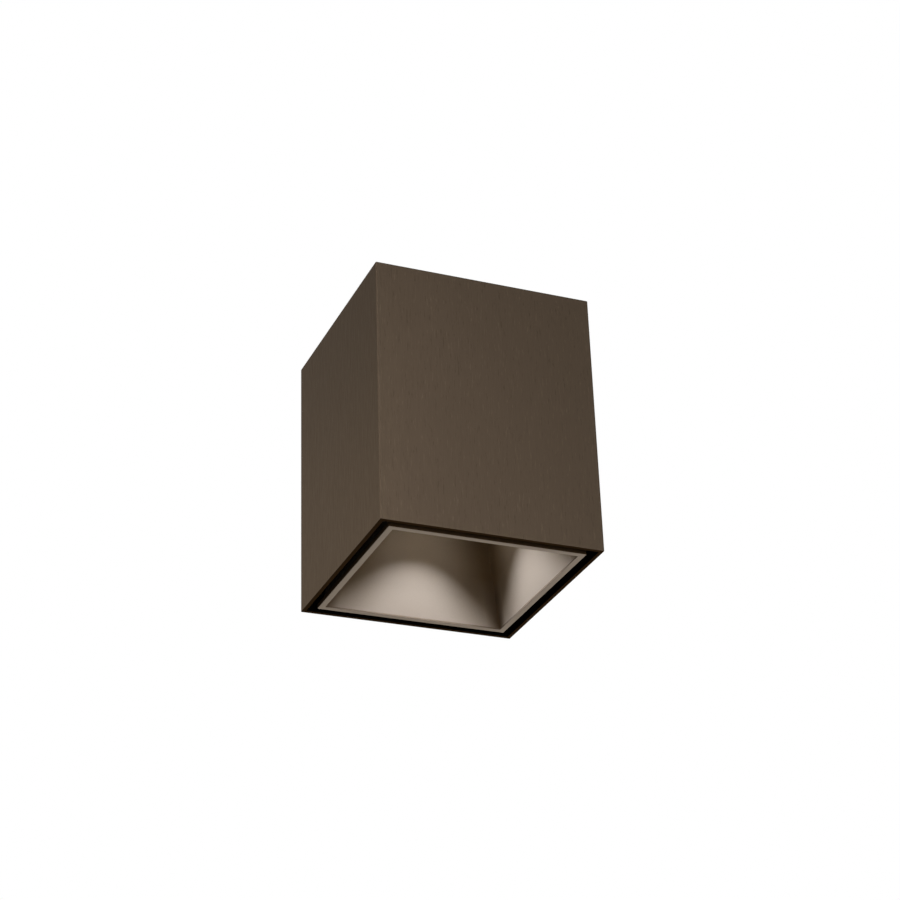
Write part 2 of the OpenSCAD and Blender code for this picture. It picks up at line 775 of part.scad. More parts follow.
module optic_carrier() {
    head_room = m3_head + 0.5;
    head_deep = m3_head_h + 0.3;
    color(black) translate([0, 0, z_carrier]) difference() {
        cylinder(d = carrier_d, h = ring_h, $fn = 96);
        translate([0, 0, -1]) cylinder(d = carrier_bore_d, h = ring_h + 2, $fn = 96);
        translate([0, 0, -1]) rotate([0, 0, 45]) for (a = [0 : 90 : 270]) rotate([0, 0, a])
            translate([ring_r, 0, 0])
                cylinder(d = magnet_d + 2 * pocket_clear, h = magnet_t + 1);
        at_both_x(ring_r) translate([0, 0, -1]) {
            cylinder(d = m3 + 2 * shank_clear, h = ring_h + 2);
            cylinder(d = head_room, h = head_deep + 1);
        }
    }
}

module carrier_screws() {
    head_deep = m3_head_h + 0.3;
    color(zinc) translate([0, 0, z_carrier + head_deep]) rotate([180, 0, 0])
        at_both_x(ring_r) cap_screw(m3, m3_head, m3_head_h,
            ring_h - head_deep + screw_grip, socket_af);
}

module magnets() {
    color("silver") translate([0, 0, z_carrier]) rotate([0, 0, 45])
        for (a = [0 : 90 : 270]) rotate([0, 0, a]) translate([ring_r, 0, 0])
            cylinder(d = magnet_d, h = magnet_t);
}

// ---------- Reflector ----------

module reflector() {
    outer = [
        [rim_half, z_rim],
        [rim_half, z_rim + rim_t],
        [mouth_half + skin_t - (rim_t - lip_h) * tan(taper_deg), z_rim + rim_t],
        [top_half + skin_t - (z_keeper - z_plate) * tan(taper_deg), z_keeper]];
    hollow = [
        [mouth_half, z_rim - 1],
        [mouth_half, z_rim + lip_h],
        [top_half, z_plate]];
    color(satin_bronze) difference() {
        square_tower(outer);
        square_tower(hollow);
        translate([0, 0, z_plate - 1]) cylinder(d = aperture_d, h = ledge_t + 2, $fn = 96);
        translate([0, 0, z_glass])
            cylinder(d = glass_d + 2 * pocket_clear, h = glass_t + 1, $fn = 96);
        translate([0, 0, z_flange])
            cylinder(d = flange_d + 2 * pocket_clear, h = cone_t + 1, $fn = 96);
        for (a = [0 : 90 : 270]) rotate([0, 0, a])
            translate([pin_r, 0, z_keeper - pin_deep]) cylinder(d = m2, h = pin_deep + 1);
    }
}

module cover_glass() {
    color([0.8, 0.9, 0.95, 0.4]) translate([0, 0, z_glass]) cylinder(d = glass_d, h = glass_t, $fn = 96);
}

// A black cone from the light source down to the glass, with a flange under the keeper ring
module glare_cone() {
    cone_h = z_sink - holder_h - cone_top_gap - z_flange;
    foot_d = glass_d - 2;
    color(black) translate([0, 0, z_flange]) difference() {
        union() {
            cylinder(d = flange_d, h = cone_t, $fn = 96);
            cylinder(d1 = foot_d + 2 * cone_t, d2 = cone_top_d + 2 * cone_t, h = cone_h, $fn = 96);
        }
        translate([0, 0, -eps])
            cylinder(d1 = foot_d, d2 = cone_top_d, h = cone_h + 2 * eps, $fn = 96);
    }
}

module keeper_ring() {
    color(zinc) translate([0, 0, z_keeper]) difference() {
        cylinder(d = keeper_d, h = keeper_t, $fn = 96);
        translate([0, 0, -1]) cylinder(d = keeper_bore_d, h = keeper_t + 2, $fn = 96);
        for (a = [0 : 90 : 270]) rotate([0, 0, a])
            translate([pin_r, 0, -1]) cylinder(d = m2, h = keeper_t + 2);
    }
}

module keeper_pins() {
    color(zinc) for (a = [0 : 90 : 270]) rotate([0, 0, a])
        translate([pin_r, 0, z_keeper - pin_deep])
            cylinder(d = m2 - 2 * thread_clear, h = pin_deep + keeper_t);
}

// ---------- Ceiling bracket ----------

module ceiling_bracket() {
    color(zinc) difference() {
        union() {
            translate([-ear_x, -ear_y, -bracket_t]) cube([2 * ear_x, 2 * ear_y, bracket_t]);
            for (side = [-1, 1]) {
                translate([side * (ear_x - bracket_t / 2) - bracket_t / 2, -ear_w / 2, -ear_l])
                    cube([bracket_t, ear_w, ear_l]);
                translate([-ear_w / 2, side * (ear_y - bracket_t / 2) - bracket_t / 2, -ear_l])
                    cube([ear_w, bracket_t, ear_l]);
            }
            translate([0, 0, -bracket_t - dish_deep])
                cylinder(d = dish_d + 2 * bracket_t, h = bracket_t + dish_deep);
        }
        translate([0, 0, -dish_deep]) cylinder(d = dish_d, h = dish_deep + 1);
        translate([0, 0, -bracket_t - dish_deep - 1])
            cylinder(d = grommet_hole_d, h = bracket_t + 2);
        at_corners(body_w / 2) rotate([0, 0, 45])
            cube([2 * corner_cut, 2 * corner_cut, 2 * (bracket_t + 1)], center = true);
        for (a = [0, 90]) rotate([0, 0, a]) at_both_x(slot_pitch / 2)
            translate([0, 0, -bracket_t - 1]) slot(slot_l, slot_w, bracket_t + 2);
        for (x = [-1, 1], y = [-1, 1]) translate([x * ear_x, y * rivet_y, rivet_z])
            rotate([0, 90, 0]) cylinder(d = rivet_d, h = 4 * bracket_t, center = true);
    }
}

// A bowed strip on each side ear, which presses on the housing's wall
module leaf_springs() {
    crest = inner - guide_clear - ear_x;
    sag = crest - spring_t;
    chord = bow_top - bow_bottom;
    bow_r = chord * chord / (8 * sag) + sag / 2;
    middle = (bow_top + bow_bottom) / 2;
    color("lightsteelblue") for (side = [0, 180]) rotate([0, 0, side]) difference() {
        translate([ear_x, 0, 0]) rotate([90, 0, 0]) linear_extrude(spring_w, center = true) {
            translate([0, bow_top - 1]) square([spring_t, spring_top - bow_top + 1]);
            intersection() {
                difference() {
                    translate([crest - bow_r, middle]) circle(bow_r, $fn = 96);
                    translate([crest - bow_r, middle]) circle(bow_r - spring_t, $fn = 96);
                }
                translate([0, bow_bottom]) square([2 * crest, chord]);
            }
        }
        for (y = [-1, 1]) translate([ear_x, y * rivet_y, rivet_z]) rotate([0, 90, 0])
            cylinder(d = rivet_d, h = 4, center = true);
    }
}

module spring_rivets() {
    grip = bracket_t + spring_t;
    color(zinc) for (side = [0, 180]) rotate([0, 0, side]) for (y = [-1, 1])
        translate([ear_x - bracket_t, y * rivet_y, rivet_z]) rotate([0, 90, 0]) {
            translate([0, 0, -eps]) cylinder(d = rivet_d - 2 * thread_clear, h = grip + 2 * eps);
            translate([0, 0, grip]) cylinder(d = rivet_head, h = rivet_head_h);
            translate([0, 0, -rivet_head_h]) cylinder(d = rivet_head, h = rivet_head_h);
        }
}

// A rubber grommet in the dish, flush with the ceiling
module cable_grommet() {
    neck_d = grommet_hole_d - 2 * pocket_clear;
    color(black) translate([0, 0, -dish_deep - bracket_t - grommet_lip]) difference() {
        union() {
            cylinder(d = grommet_flange_d, h = grommet_lip);
            translate([0, 0, grommet_lip - eps]) cylinder(d = neck_d, h = bracket_t + 2 * eps);
            translate([0, 0, grommet_lip + bracket_t])
                cylinder(d = grommet_flange_d, h = grommet_lip);
        }
        translate([0, 0, -1]) cylinder(d = cable_d, h = 2 * grommet_lip + bracket_t + 2);
    }
}

// ---------- Nodes ----------

housing();
corner_blocks();
heat_sink();
standoffs();
gear_tray();
tray_screws();
driver_case();
driver_lid();
driver_board();
driver_transformer();
driver_capacitors();
driver_screws();
terminal_block();
terminal_contacts();
terminal_screws();
release_button_live();
release_button_neutral();
release_button_earth();
cable_clamp();
cable_clamp_screws();
earth_screw();
earth_ring();
wire_live();
wire_neutral();
wire_earth();
led_lead_red();
led_lead_black();
thermal_pad();
led_board();
led_emitter();
led_holder();
led_holder_screws();
optic_carrier();
carrier_screws();
magnets();
reflector();
cover_glass();
glare_cone();
keeper_ring();
keeper_pins();
ceiling_bracket();
leaf_springs();
spring_rivets();
cable_grommet();
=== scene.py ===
import json
import math
import bmesh
import bpy
import numpy as np
from mathutils import Matrix, Vector


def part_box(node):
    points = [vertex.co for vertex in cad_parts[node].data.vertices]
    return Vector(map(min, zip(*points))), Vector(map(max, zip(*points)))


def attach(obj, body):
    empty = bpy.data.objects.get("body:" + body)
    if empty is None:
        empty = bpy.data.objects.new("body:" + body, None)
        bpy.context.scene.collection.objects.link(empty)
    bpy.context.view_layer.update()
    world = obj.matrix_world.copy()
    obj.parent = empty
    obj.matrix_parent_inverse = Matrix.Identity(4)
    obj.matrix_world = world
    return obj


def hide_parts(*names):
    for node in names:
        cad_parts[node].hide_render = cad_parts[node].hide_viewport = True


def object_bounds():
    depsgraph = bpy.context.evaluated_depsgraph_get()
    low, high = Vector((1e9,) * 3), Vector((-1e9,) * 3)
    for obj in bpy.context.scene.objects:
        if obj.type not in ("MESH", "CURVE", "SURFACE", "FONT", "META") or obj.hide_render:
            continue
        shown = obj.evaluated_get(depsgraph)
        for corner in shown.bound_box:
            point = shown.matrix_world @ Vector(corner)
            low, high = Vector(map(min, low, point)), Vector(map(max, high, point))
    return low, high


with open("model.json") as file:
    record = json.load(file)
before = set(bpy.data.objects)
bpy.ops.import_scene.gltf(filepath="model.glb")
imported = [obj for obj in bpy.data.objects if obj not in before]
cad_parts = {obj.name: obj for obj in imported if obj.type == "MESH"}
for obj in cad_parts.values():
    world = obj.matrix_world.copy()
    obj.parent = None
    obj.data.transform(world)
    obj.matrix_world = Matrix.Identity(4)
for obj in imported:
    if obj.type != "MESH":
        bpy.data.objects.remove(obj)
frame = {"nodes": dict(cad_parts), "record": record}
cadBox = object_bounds()  # the CAD model's own box, before anything is added
mm = 0.001
bpy.context.scene.view_settings.view_transform = "Standard"

bodyOf = {n: b for b, nodes in frame["record"]["behaviour"]["bodies"].items() for n in nodes}


def low(node):
    return np.array(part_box(node)[0])


def high(node):
    return np.array(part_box(node)[1])


# Half width or radius, bottom and top of a node that stands round the Z axis.
def extent(node):
    return high(node)[0], low(node)[2], high(node)[2]


def addObject(name, data, matrix=Matrix()):
    thing = bpy.data.objects.new(name, data)
    thing.matrix_world = matrix
    bpy.context.scene.collection.objects.link(thing)
    return thing


# Camera
# The view is from below and a little to the left of the -Y face, with the horizon slightly turned.
cameraView = {
    "lens": 89.99,  # mm
    "sensor": 36,  # mm
    "azimuth": -22.95,  # degrees, from looking along +Y
    "elevation": -27.33,
    "roll": -1.97,
    "distance": 793.1 * mm,
    "aimZ": -50 * mm,
    "slideRight": 1.78 * mm,
    "slideUp": 3.20 * mm,
}


def addCamera(view):
    az, el, roll = (math.radians(view[k]) for k in ("azimuth", "elevation", "roll"))
    back = Vector((math.sin(az) * math.cos(el), -math.cos(az) * math.cos(el), math.sin(el)))
    level = (-back).cross(Vector((0, 0, 1))).normalized()
    lift = level.cross(-back)
    right = math.cos(roll) * level + math.sin(roll) * lift
    up = -math.sin(roll) * level + math.cos(roll) * lift
    place = Vector((0, 0, view["aimZ"])) + back * view["distance"]
    place += right * view["slideRight"] + up * view["slideUp"]
    data = bpy.data.cameras.new("camera")
    data.lens = view["lens"]
    data.sensor_width = view["sensor"]
    turned = Matrix((right, up, back)).transposed().to_4x4()
    bpy.context.scene.camera = addObject("camera", data, Matrix.Translation(place) @ turned)


addCamera(cameraView)
print("camera placed")


# Shader helpers
def setInputs(node, values):
    for name, value in values.items():
        node.inputs[name].default_value = value


def newMaterial(name, colour, roughness, metallic=0.0):
    material = bpy.data.materials.new(name)
    material.use_nodes = True
    tree = material.node_tree
    shader = tree.nodes["Principled BSDF"]
    setInputs(shader, {"Base Color": (*colour, 1), "Roughness": roughness, "Metallic": metallic})
    return material, tree, shader


# One Math node on two values; the second one may be left out.
def combine(tree, a, b=None, operation="MULTIPLY"):
    node = tree.nodes.new("ShaderNodeMath")
    node.operation = operation
    tree.links.new(a, node.inputs[0])
    if b is not None:
        tree.links.new(b, node.inputs[1])
    return node.outputs[0]


# Carries a value from one range to another along a straight line, held at both ends. Where it isn't
# told, the first range is the one that most noise stays in.
def spread(tree, value, lowTo, highTo, lowFrom=0.3, highFrom=0.7):
    node = tree.nodes.new("ShaderNodeMapRange")
    setInputs(node, {"From Min": lowFrom, "From Max": highFrom, "To Min": lowTo, "To Max": highTo})
    tree.links.new(value, node.inputs["Value"])
    return node.outputs["Result"]


# A factor that varies by the contrast both ways from 1.
def vary(tree, value, contrast):
    return spread(tree, value, 1 - contrast, 1 + contrast)


def objectPlace(tree):
    return tree.nodes.new("ShaderNodeTexCoord").outputs["Object"]


def objectAxes(tree):
    axes = tree.nodes.new("ShaderNodeSeparateXYZ")
    tree.links.new(objectPlace(tree), axes.inputs[0])
    return axes.outputs


# |x| and |y| in the piece's own axes.
def sidewaysAxes(tree):
    axes = objectAxes(tree)
    return [combine(tree, axes[axis], operation="ABSOLUTE") for axis in ("X", "Y")]


# Noise on Object coordinates, with its own scale along X, Y and Z, in cells per metre.
def addNoise(tree, scale, detail=2.0, rough=0.5):
    mapping = tree.nodes.new("ShaderNodeMapping")
    noise = tree.nodes.new("ShaderNodeTexNoise")
    setInputs(mapping, {"Scale": scale})
    setInputs(noise, {"Scale": 1, "Detail": detail, "Roughness": rough})
    tree.links.new(objectPlace(tree), mapping.inputs[0])
    tree.links.new(mapping.outputs[0], noise.inputs["Vector"])
    return noise.outputs["Fac"]


# Base colour = the colour, or what is linked there, times the factor.
def shadeColour(tree, shader, colour, factor):
    scale = tree.nodes.new("ShaderNodeVectorMath")
    scale.operation = "SCALE"
    if isinstance(colour, tuple):
        scale.inputs[0].default_value = colour
    else:
        tree.links.new(colour, scale.inputs[0])
    tree.links.new(factor, scale.inputs["Scale"])
    tree.links.new(scale.outputs[0], shader.inputs["Base Color"])


# Base colour goes from the first colour, or from what is linked there, to the second one.
def blendColour(tree, shader, first, second, share, blend="MIX"):
    mix = tree.nodes.new("ShaderNodeMix")
    mix.data_type = "RGBA"
    mix.blend_type = blend
    if isinstance(first, tuple):
        mix.inputs["A"].default_value = (*first, 1)
    else:
        tree.links.new(first, mix.inputs["A"])
    mix.inputs["B"].default_value = (*second, 1)
    tree.links.new(share, mix.inputs["Factor"])
    tree.links.new(mix.outputs["Result"], shader.inputs["Base Color"])
    return mix.outputs["Result"]


def spreadRoughness(tree, shader, value, lowTo, highTo):
    tree.links.new(spread(tree, value, lowTo, highTo), shader.inputs["Roughness"])


def addBump(tree, shader, height, strength, depth):
    bump = tree.nodes.new("ShaderNodeBump")
    setInputs(bump, {"Strength": strength, "Distance": depth})
    tree.links.new(height, bump.inputs["Height"])
    tree.links.new(bump.outputs[0], shader.inputs["Normal"])


# Even bump: grain is its cells per metre, strength and depth.
def addGrain(tree, shader, grain):
    cells, strength, depth = grain
    addBump(tree, shader, addNoise(tree, (cells,) * 3), strength, depth)


# Room: world, floor and lamps
roomValues = {
    "worldLevel": 0.14,  # light that the surroundings give to matt surfaces
    "worldSeen": 1,  # level that the camera, reflections and glass see
    "floorZ": -1.5,
    "floorSize": 60,
    "floorColour": (0.78, 0.78, 0.78),
    "floorRoughness": 0.9,
    "floorSeen": (0.62, 0.95),  # added where the floor is looked at, near and far
    "floorFade": (1.5, 10),  # metres from the middle
}
lampValues = {  # turn from the -Y side in degrees, distance in plan, height, size, watts
    "lampFrontLeft": (-68, 1.9, 0.92, (0.9, 0.9), 12.0),
    "lampFrontRight": (22, 1.9, 0.1, (0.9, 0.9), 8.0),
    "lampBehind": (158, 1.9, 0.1, (0.9, 0.9), 3.0),
    "lampAbove": (0, 0.0, 1.6, (1.6, 1.6), 3.0),
    "lampStrip": (0, 0.39, -0.02, (0.1, 0.5), 0.85),
    "lampLeftLow": (-122, 0.9, 0.23, (0.8, 0.3), 2.7),
    "lampRim": (135, 0.9, -0.95, (0.5, 0.5), 9.5),
}


# 1 for camera, glossy and transmission rays, 0 for the rest: the largest of the three flags.
def rayMask(tree):
    path = tree.nodes.new("ShaderNodeLightPath").outputs
    first = combine(tree, path["Is Camera Ray"], path["Is Glossy Ray"], "MAXIMUM")
    return combine(tree, first, path["Is Transmission Ray"], "MAXIMUM")


def addWorld(room):
    world = bpy.data.worlds.new("studio")
    world.use_nodes = True
    bpy.context.scene.world = world
    tree = world.node_tree
    tree.nodes.clear()
    mix = tree.nodes.new("ShaderNodeMixShader")
    tree.links.new(rayMask(tree), mix.inputs[0])
    for place, level in enumerate((room["worldLevel"], room["worldSeen"]), 1):
        shade = tree.nodes.new("ShaderNodeBackground")
        setInputs(shade, {"Color": (1, 1, 1, 1), "Strength": level})
        tree.links.new(shade.outputs[0], mix.inputs[place])
    tree.links.new(mix.outputs[0], tree.nodes.new("ShaderNodeOutputWorld").inputs["Surface"])


def addFloor(room):
    bpy.ops.mesh.primitive_plane_add(size=room["floorSize"], location=(0, 0, room["floorZ"]))
    floor = bpy.context.object
    floor.name = "floor"
    paint, tree, shader = newMaterial("floorPaint", room["floorColour"], room["floorRoughness"])
    setInputs(shader, {"Emission Color": (1, 1, 1, 1)})
    away = tree.nodes.new("ShaderNodeVectorMath")
    away.operation = "LENGTH"
    tree.links.new(objectPlace(tree), away.inputs[0])
    pale = spread(tree, away.outputs["Value"], *room["floorSeen"], *room["floorFade"])
    seen = combine(tree, rayMask(tree), pale)
    tree.links.new(seen, shader.inputs["Emission Strength"])
    floor.data.materials.append(paint)


def addLight(name, shape, sizes, watts, matrix):
    data = bpy.data.lights.new(name, "AREA")
    data.shape = shape
    data.size, data.size_y = sizes
    data.energy = watts
    light = addObject(name, data, matrix)
    light.visible_camera = False
    return light


def addLamp(name, lamp, centre):
    turnDeg, distance, height, sizes, watts = lamp
    turn = math.radians(turnDeg)
    place = Vector((distance * math.sin(turn), -distance * math.cos(turn), height))
    aim = (Vector(centre) - place).to_track_quat("-Z", "Y").to_matrix().to_4x4()
    addLight(name, "RECTANGLE", sizes, watts, Matrix.Translation(place) @ aim)


addWorld(roomValues)
addFloor(roomValues)
lampAim = (0, 0, float(np.mean([cadBox[0][2], cadBox[1][2]])))
for lampName, lamp in lampValues.items():
    addLamp(lampName, lamp, lampAim)
print("room lit")

# Shared mesh builders
mergeAt = 1e-7
holdShare = 0.4  # a held point takes at most this share of the free straight


# points are (offset, height) corners; each is rounded by an arc of its own radius that starts at
# corner - r*tan(half turn) on both sides. A held point beside each arc keeps flats flat.
def filletedProfile(points, radii, steps=4, hold=0.1 * mm):
    p = np.array(points, float)
    n = len(p)
    rows = []
    for i, r in enumerate(radii):
        a, b, c = p[i - 1], p[i], p[(i + 1) % n]
        u, v = (a - b) / np.linalg.norm(a - b), (c - b) / np.linalg.norm(c - b)
        turn = math.pi - math.acos(float(np.clip(u @ v, -1, 1)))
        back = r * math.tan(turn / 2)
        middle = b + (u + v) / np.linalg.norm(u + v) * r / math.cos(turn / 2)
        start, end = b + u * back - middle, b + v * back - middle
        t = np.linspace(0, 1, steps + 1)[:, None]
        # slerp between the arc's two radii about its centre
        arc = (np.sin((1 - t) * turn) * start + np.sin(t * turn) * end) / math.sin(turn) + middle
        room = min(np.linalg.norm(a - b), np.linalg.norm(c - b)) / 2 - back
        gap = min(hold, holdShare * max(room, 0))
        rows.append(np.vstack([arc[0] + u * gap, arc, arc[-1] + v * gap]))
    return np.vstack(rows), np.repeat(np.arange(n), steps + 3)


# One ring per row: a quarter circle of the corner's radius about (halfX - r, halfY - r) in each
# quadrant, joined by straight sides, with a held point on both sides of every quarter circle.
def squareRings(halfX, halfY, corner, z, perCorner=6, hold=0.1 * mm):
    halfX, halfY, corner, z = (np.asarray(v, float)[:, None] for v in (halfX, halfY, corner, z))
    gap = np.minimum(hold, holdShare * np.maximum(np.minimum(halfX, halfY) - corner, 0))
    rings = []
    for quarter, (sx, sy) in enumerate(((1, 1), (-1, 1), (-1, -1), (1, -1))):
        a = np.radians(90) * (quarter + np.linspace(0, 1, perCorner + 1))[None, :]
        x = sx * (halfX - corner) + corner * np.cos(a)
        y = sy * (halfY - corner) + corner * np.sin(a)
        first, last = a[:, :1], a[:, -1:]
        x = np.hstack([x[:, :1] + gap * np.sin(first), x, x[:, -1:] - gap * np.sin(last)])
        y = np.hstack([y[:, :1] - gap * np.cos(first), y, y[:, -1:] + gap * np.cos(last)])
        rings.append(np.stack([x, y, np.broadcast_to(z, x.shape)], -1))
    return np.concatenate(rings, 1)


# One ring per row: radius times (cos a, sin a) at height z.
def roundRings(radius, z, around=96):
    a = np.linspace(0, 2 * math.pi, around, endpoint=False)[None, :]
    radius, z = np.asarray(radius, float)[:, None], np.asarray(z, float)[:, None]
    return np.stack([radius * np.cos(a), radius * np.sin(a), z + 0 * a], -1)


# grids are (rows, columns, 3) arrays whose columns close round. Quads join each ring to the next;
# closedRows joins the last ring to the first, capEnds fills both end rings. bands gives each row's
# material index. Doubles are merged and the faces turned outwards.
def gridPiece(name, grids, closedRows=False, capEnds=False, sharpDeg=35, bands=None, wrap=None):
    verts, faces, marks, base = [], [], [], 0
    for grid in grids:
        rows, cols = grid.shape[:2]
        index = base + np.arange(rows * cols).reshape(rows, cols)
        nextRow = np.roll(index, -1, 0) if closedRows else index[1:]
        thisRow = index if closedRows else index[:-1]
        quads = np.stack([thisRow, np.roll(thisRow, -1, 1), np.roll(nextRow, -1, 1), nextRow], -1)
        faces += quads.reshape(-1, 4).tolist()
        rowMark = np.zeros(len(thisRow), int)
        if bands is not None:
            rowMark = np.asarray(bands)[: len(thisRow)]
        marks.append(np.repeat(rowMark, cols))
        if capEnds:
            faces += [index[0].tolist(), index[-1].tolist()]
            marks.append(np.array([rowMark[0], rowMark[-1]]))
        verts.append(grid.reshape(-1, 3))
        base += rows * cols
    mesh = bpy.data.meshes.new(name)
    mesh.from_pydata(np.vstack(verts), [], faces)
    mesh.polygons.foreach_set("material_index", np.concatenate(marks).astype(np.int32))
    if wrap is not None:
        field = mesh.attributes.new("wrap", "FLOAT_VECTOR", "POINT")
        field.data.foreach_set("vector", wrap.reshape(-1).astype(np.float32))
    work = bmesh.new()
    work.from_mesh(mesh)
    bmesh.ops.remove_doubles(work, verts=work.verts, dist=mergeAt)
    bmesh.ops.dissolve_degenerate(work, edges=work.edges, dist=mergeAt)
    bmesh.ops.recalc_face_normals(work, faces=work.faces)
    return addPiece(name, mesh, work, sharpDeg)


# A profile of (radius, height) points turned about Z; a profile that starts and ends on the axis
# closes at its poles, and one that doesn't closes on itself.
def turnedPiece(name, profile, around=96, closed=True, bands=None, sharpDeg=40):
    radius, z = np.asarray(profile, float).T
    return gridPiece(name, [roundRings(radius, z, around)], closedRows=closed, sharpDeg=sharpDeg,
                     bands=bands)


# The edited mesh becomes a smooth piece, sharp where its faces turn by more than the angle.
def addPiece(name, mesh, work, sharpDeg):
    work.to_mesh(mesh)
    work.free()
    mesh.shade_smooth()
    mesh.set_sharp_from_angle(angle=math.radians(sharpDeg))
    return addObject(name, mesh)


# The piece takes its materials, replaces these CAD nodes and rides on the first one's body.
def install(piece, materials, *nodes):
    for material in materials:
        piece.data.materials.append(material)
    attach(piece, bodyOf[nodes[0]])
    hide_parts(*nodes)


# Materials. A grain is the cells per metre, strength and depth of a bump; clouds and blotches are
# in cells per metre; a contrast or spread goes both ways from the middle value.
brushValues = {
    "dashScale": (0.8, 2),  # cells of the dash noise in one streak cell, across and along
    "lightDash": (0.65, 0.73),  # noise from which a dash starts and is full
    "darkDash": (0.27, 0.35),
    "cloud": (60, 60, 25),
    "roughSpread": 0.06,
    "bumpStrength": 0.25,
    "bumpDepth": 0.01 * mm,
    "anisotropy": 0.5,
    "edgeHighlightBand": (1, 0.75),  # radii inside the corner's sum, where its painted highlight starts and is full
}
brushedMetals = {
    "rawAluminium": {
        "colour": (0.74, 0.75, 0.76),
        "roughness": 0.36,
        "along": "Y",
        "streak": (0.3 * mm, 12 * mm),  # width and length of a brush mark
        "contrast": 0.04,
    },
    "springSteel": {
        "colour": (0.42, 0.44, 0.47),
        "roughness": 0.24,
        "along": "Z",
        "streak": (0.2 * mm, 9 * mm),
        "contrast": 0.04,
    },
}


# Colour, roughness and bump follow noise stretched along one axis: streaks of the given width and
# length, over a broader cloud. Where a second stretched noise is high or low enough, a short light
# or dark dash stands out. A painted highlight makes the upright edges of a box lighter by the
# edge's gain: there |x| + |y| comes near to the sum that a sharp corner would have.
def brushedMetal(name, m, edge=None, b=brushValues):
    material, tree, shader = newMaterial(name, m["colour"], m["roughness"], 1.0)
    width, length = m["streak"]
    axis = "XYZ".index(m["along"])
    across, lengthwise = b["dashScale"]
    scale = [1 / width] * 3
    scale[axis] = 1 / length
    dashScale = [v * across for v in scale]
    dashScale[axis] = scale[axis] * lengthwise
    fine = addNoise(tree, scale, 3)
    sparse = addNoise(tree, dashScale, 1)
    cloud = addNoise(tree, b["cloud"])
    contrast, dash = m["contrast"], m.get("dash", 0)
    factor = combine(tree, vary(tree, fine, contrast), vary(tree, cloud, contrast / 2))
    dashes = combine(tree, spread(tree, sparse, 1, 1 + dash, *b["lightDash"]),
                     spread(tree, sparse, 1 - dash, 1, *b["darkDash"]))
    factor = combine(tree, factor, dashes)
    # painted highlight: the colour on the rounded upright edges is raised by the gain
    if edge:
        corner, radius, highlightGain = edge
        total = combine(tree, *sidewaysAxes(tree), "ADD")
        paintedHighlight = spread(tree, total, 1, 1 + highlightGain, *(corner - v * radius for v in b["edgeHighlightBand"]))
        factor = combine(tree, factor, paintedHighlight)
    shadeColour(tree, shader, m["colour"], factor)
    rough, change = m["roughness"], b["roughSpread"]
    spreadRoughness(tree, shader, fine, rough + change, rough - change)
    addBump(tree, shader, fine, b["bumpStrength"], b["bumpDepth"])
    grazing = m.get("grazing", (1, 1, 1))
    setInputs(shader, {"Anisotropic": b["anisotropy"], "Specular Tint": (*grazing, 1)})
    tangent = tree.nodes.new("ShaderNodeTangent")
    tangent.direction_type = "RADIAL"
    tangent.axis = "Z"
    tree.links.new(tangent.outputs[0], shader.inputs["Tangent"])
    return material


plateValues = {
    "blotch": 320,
    "contrast": 0.03,
    "roughRange": (0.07, -0.05),  # added to the roughness where the cloud is low and high
    "grazing": 0.8,  # what is left of the shine at grazing angles
    "grain": (2600, 0.12, 0.01 * mm),
}
platedMetals = {  # colour and roughness
    "zincSteel": ((0.34, 0.35, 0.36), 0.48),
    "blackenedSteel": ((0.085, 0.085, 0.09), 0.42),
    "copper": ((0.80, 0.46, 0.30), 0.28),
    "brass": ((0.72, 0.55, 0.26), 0.26),
    "magnetNickel": ((0.66, 0.64, 0.60), 0.16),
}


# Metal with a faint cloud of two sizes in its colour and roughness, as plating leaves.
def platedMetal(name, colour, roughness, p=plateValues):
    material, tree, shader = newMaterial(name, colour, roughness, 1.0)
    setInputs(shader, {"Specular Tint": (*[p["grazing"]] * 3, 1)})
    cloud = addNoise(tree, (p["blotch"],) * 3, 4, 0.6)
    shadeColour(tree, shader, colour, vary(tree, cloud, p["contrast"]))
    up, down = p["roughRange"]
    spreadRoughness(tree, shader, cloud, roughness + up, roughness + down)
    addGrain(tree, shader, p["grain"])
    return material


plasticValues = {
    "cloud": 90,
    "roughSpread": 0.04,
    "grain": (2500, 0.3, 0.015 * mm),
    "contrast": 0.03,
    "gloss": 0.5,
}
plastics = {  # colour, roughness and the values of its own
    "blackPlastic": ((0.012, 0.012, 0.012), 0.5, {}),
    "whitePlastic": ((0.76, 0.75, 0.71), 0.42, {}),
    "orangePlastic": ((0.80, 0.20, 0.02), 0.32, {}),
    "circuitGreen": ((0.015, 0.12, 0.04), 0.35, {}),
    "circuitWhite": ((0.82, 0.82, 0.80), 0.30, {}),
    "ferrite": ((0.03, 0.03, 0.032), 0.6, {"grain": (1500, 0.3, 0.015 * mm)}),
    "capacitorSleeve": ((0.03, 0.04, 0.14), 0.25, {}),
    "thermalSilicone": ((0.34, 0.36, 0.38), 0.7, {}),
    "rubber": ((0.014, 0.014, 0.014), 0.65, {}),
    "brownPvc": ((0.12, 0.045, 0.016), 0.38, {}),
    "bluePvc": ((0.025, 0.11, 0.42), 0.38, {}),
    "redSilicone": ((0.45, 0.02, 0.02), 0.42, {}),
    "blackSilicone": ((0.015, 0.015, 0.015), 0.42, {}),
    "coneBlack": ((0.0022, 0.0020, 0.0018), 0.9, {"contrast": 0.1, "gloss": 0}),
    # painted shade: the housing's lower rim, near black in place of its bronze
    "housingRimPaintedShade": ((0.024, 0.0125, 0.0048), 0.7, {"contrast": 0.1, "gloss": 0}),
}


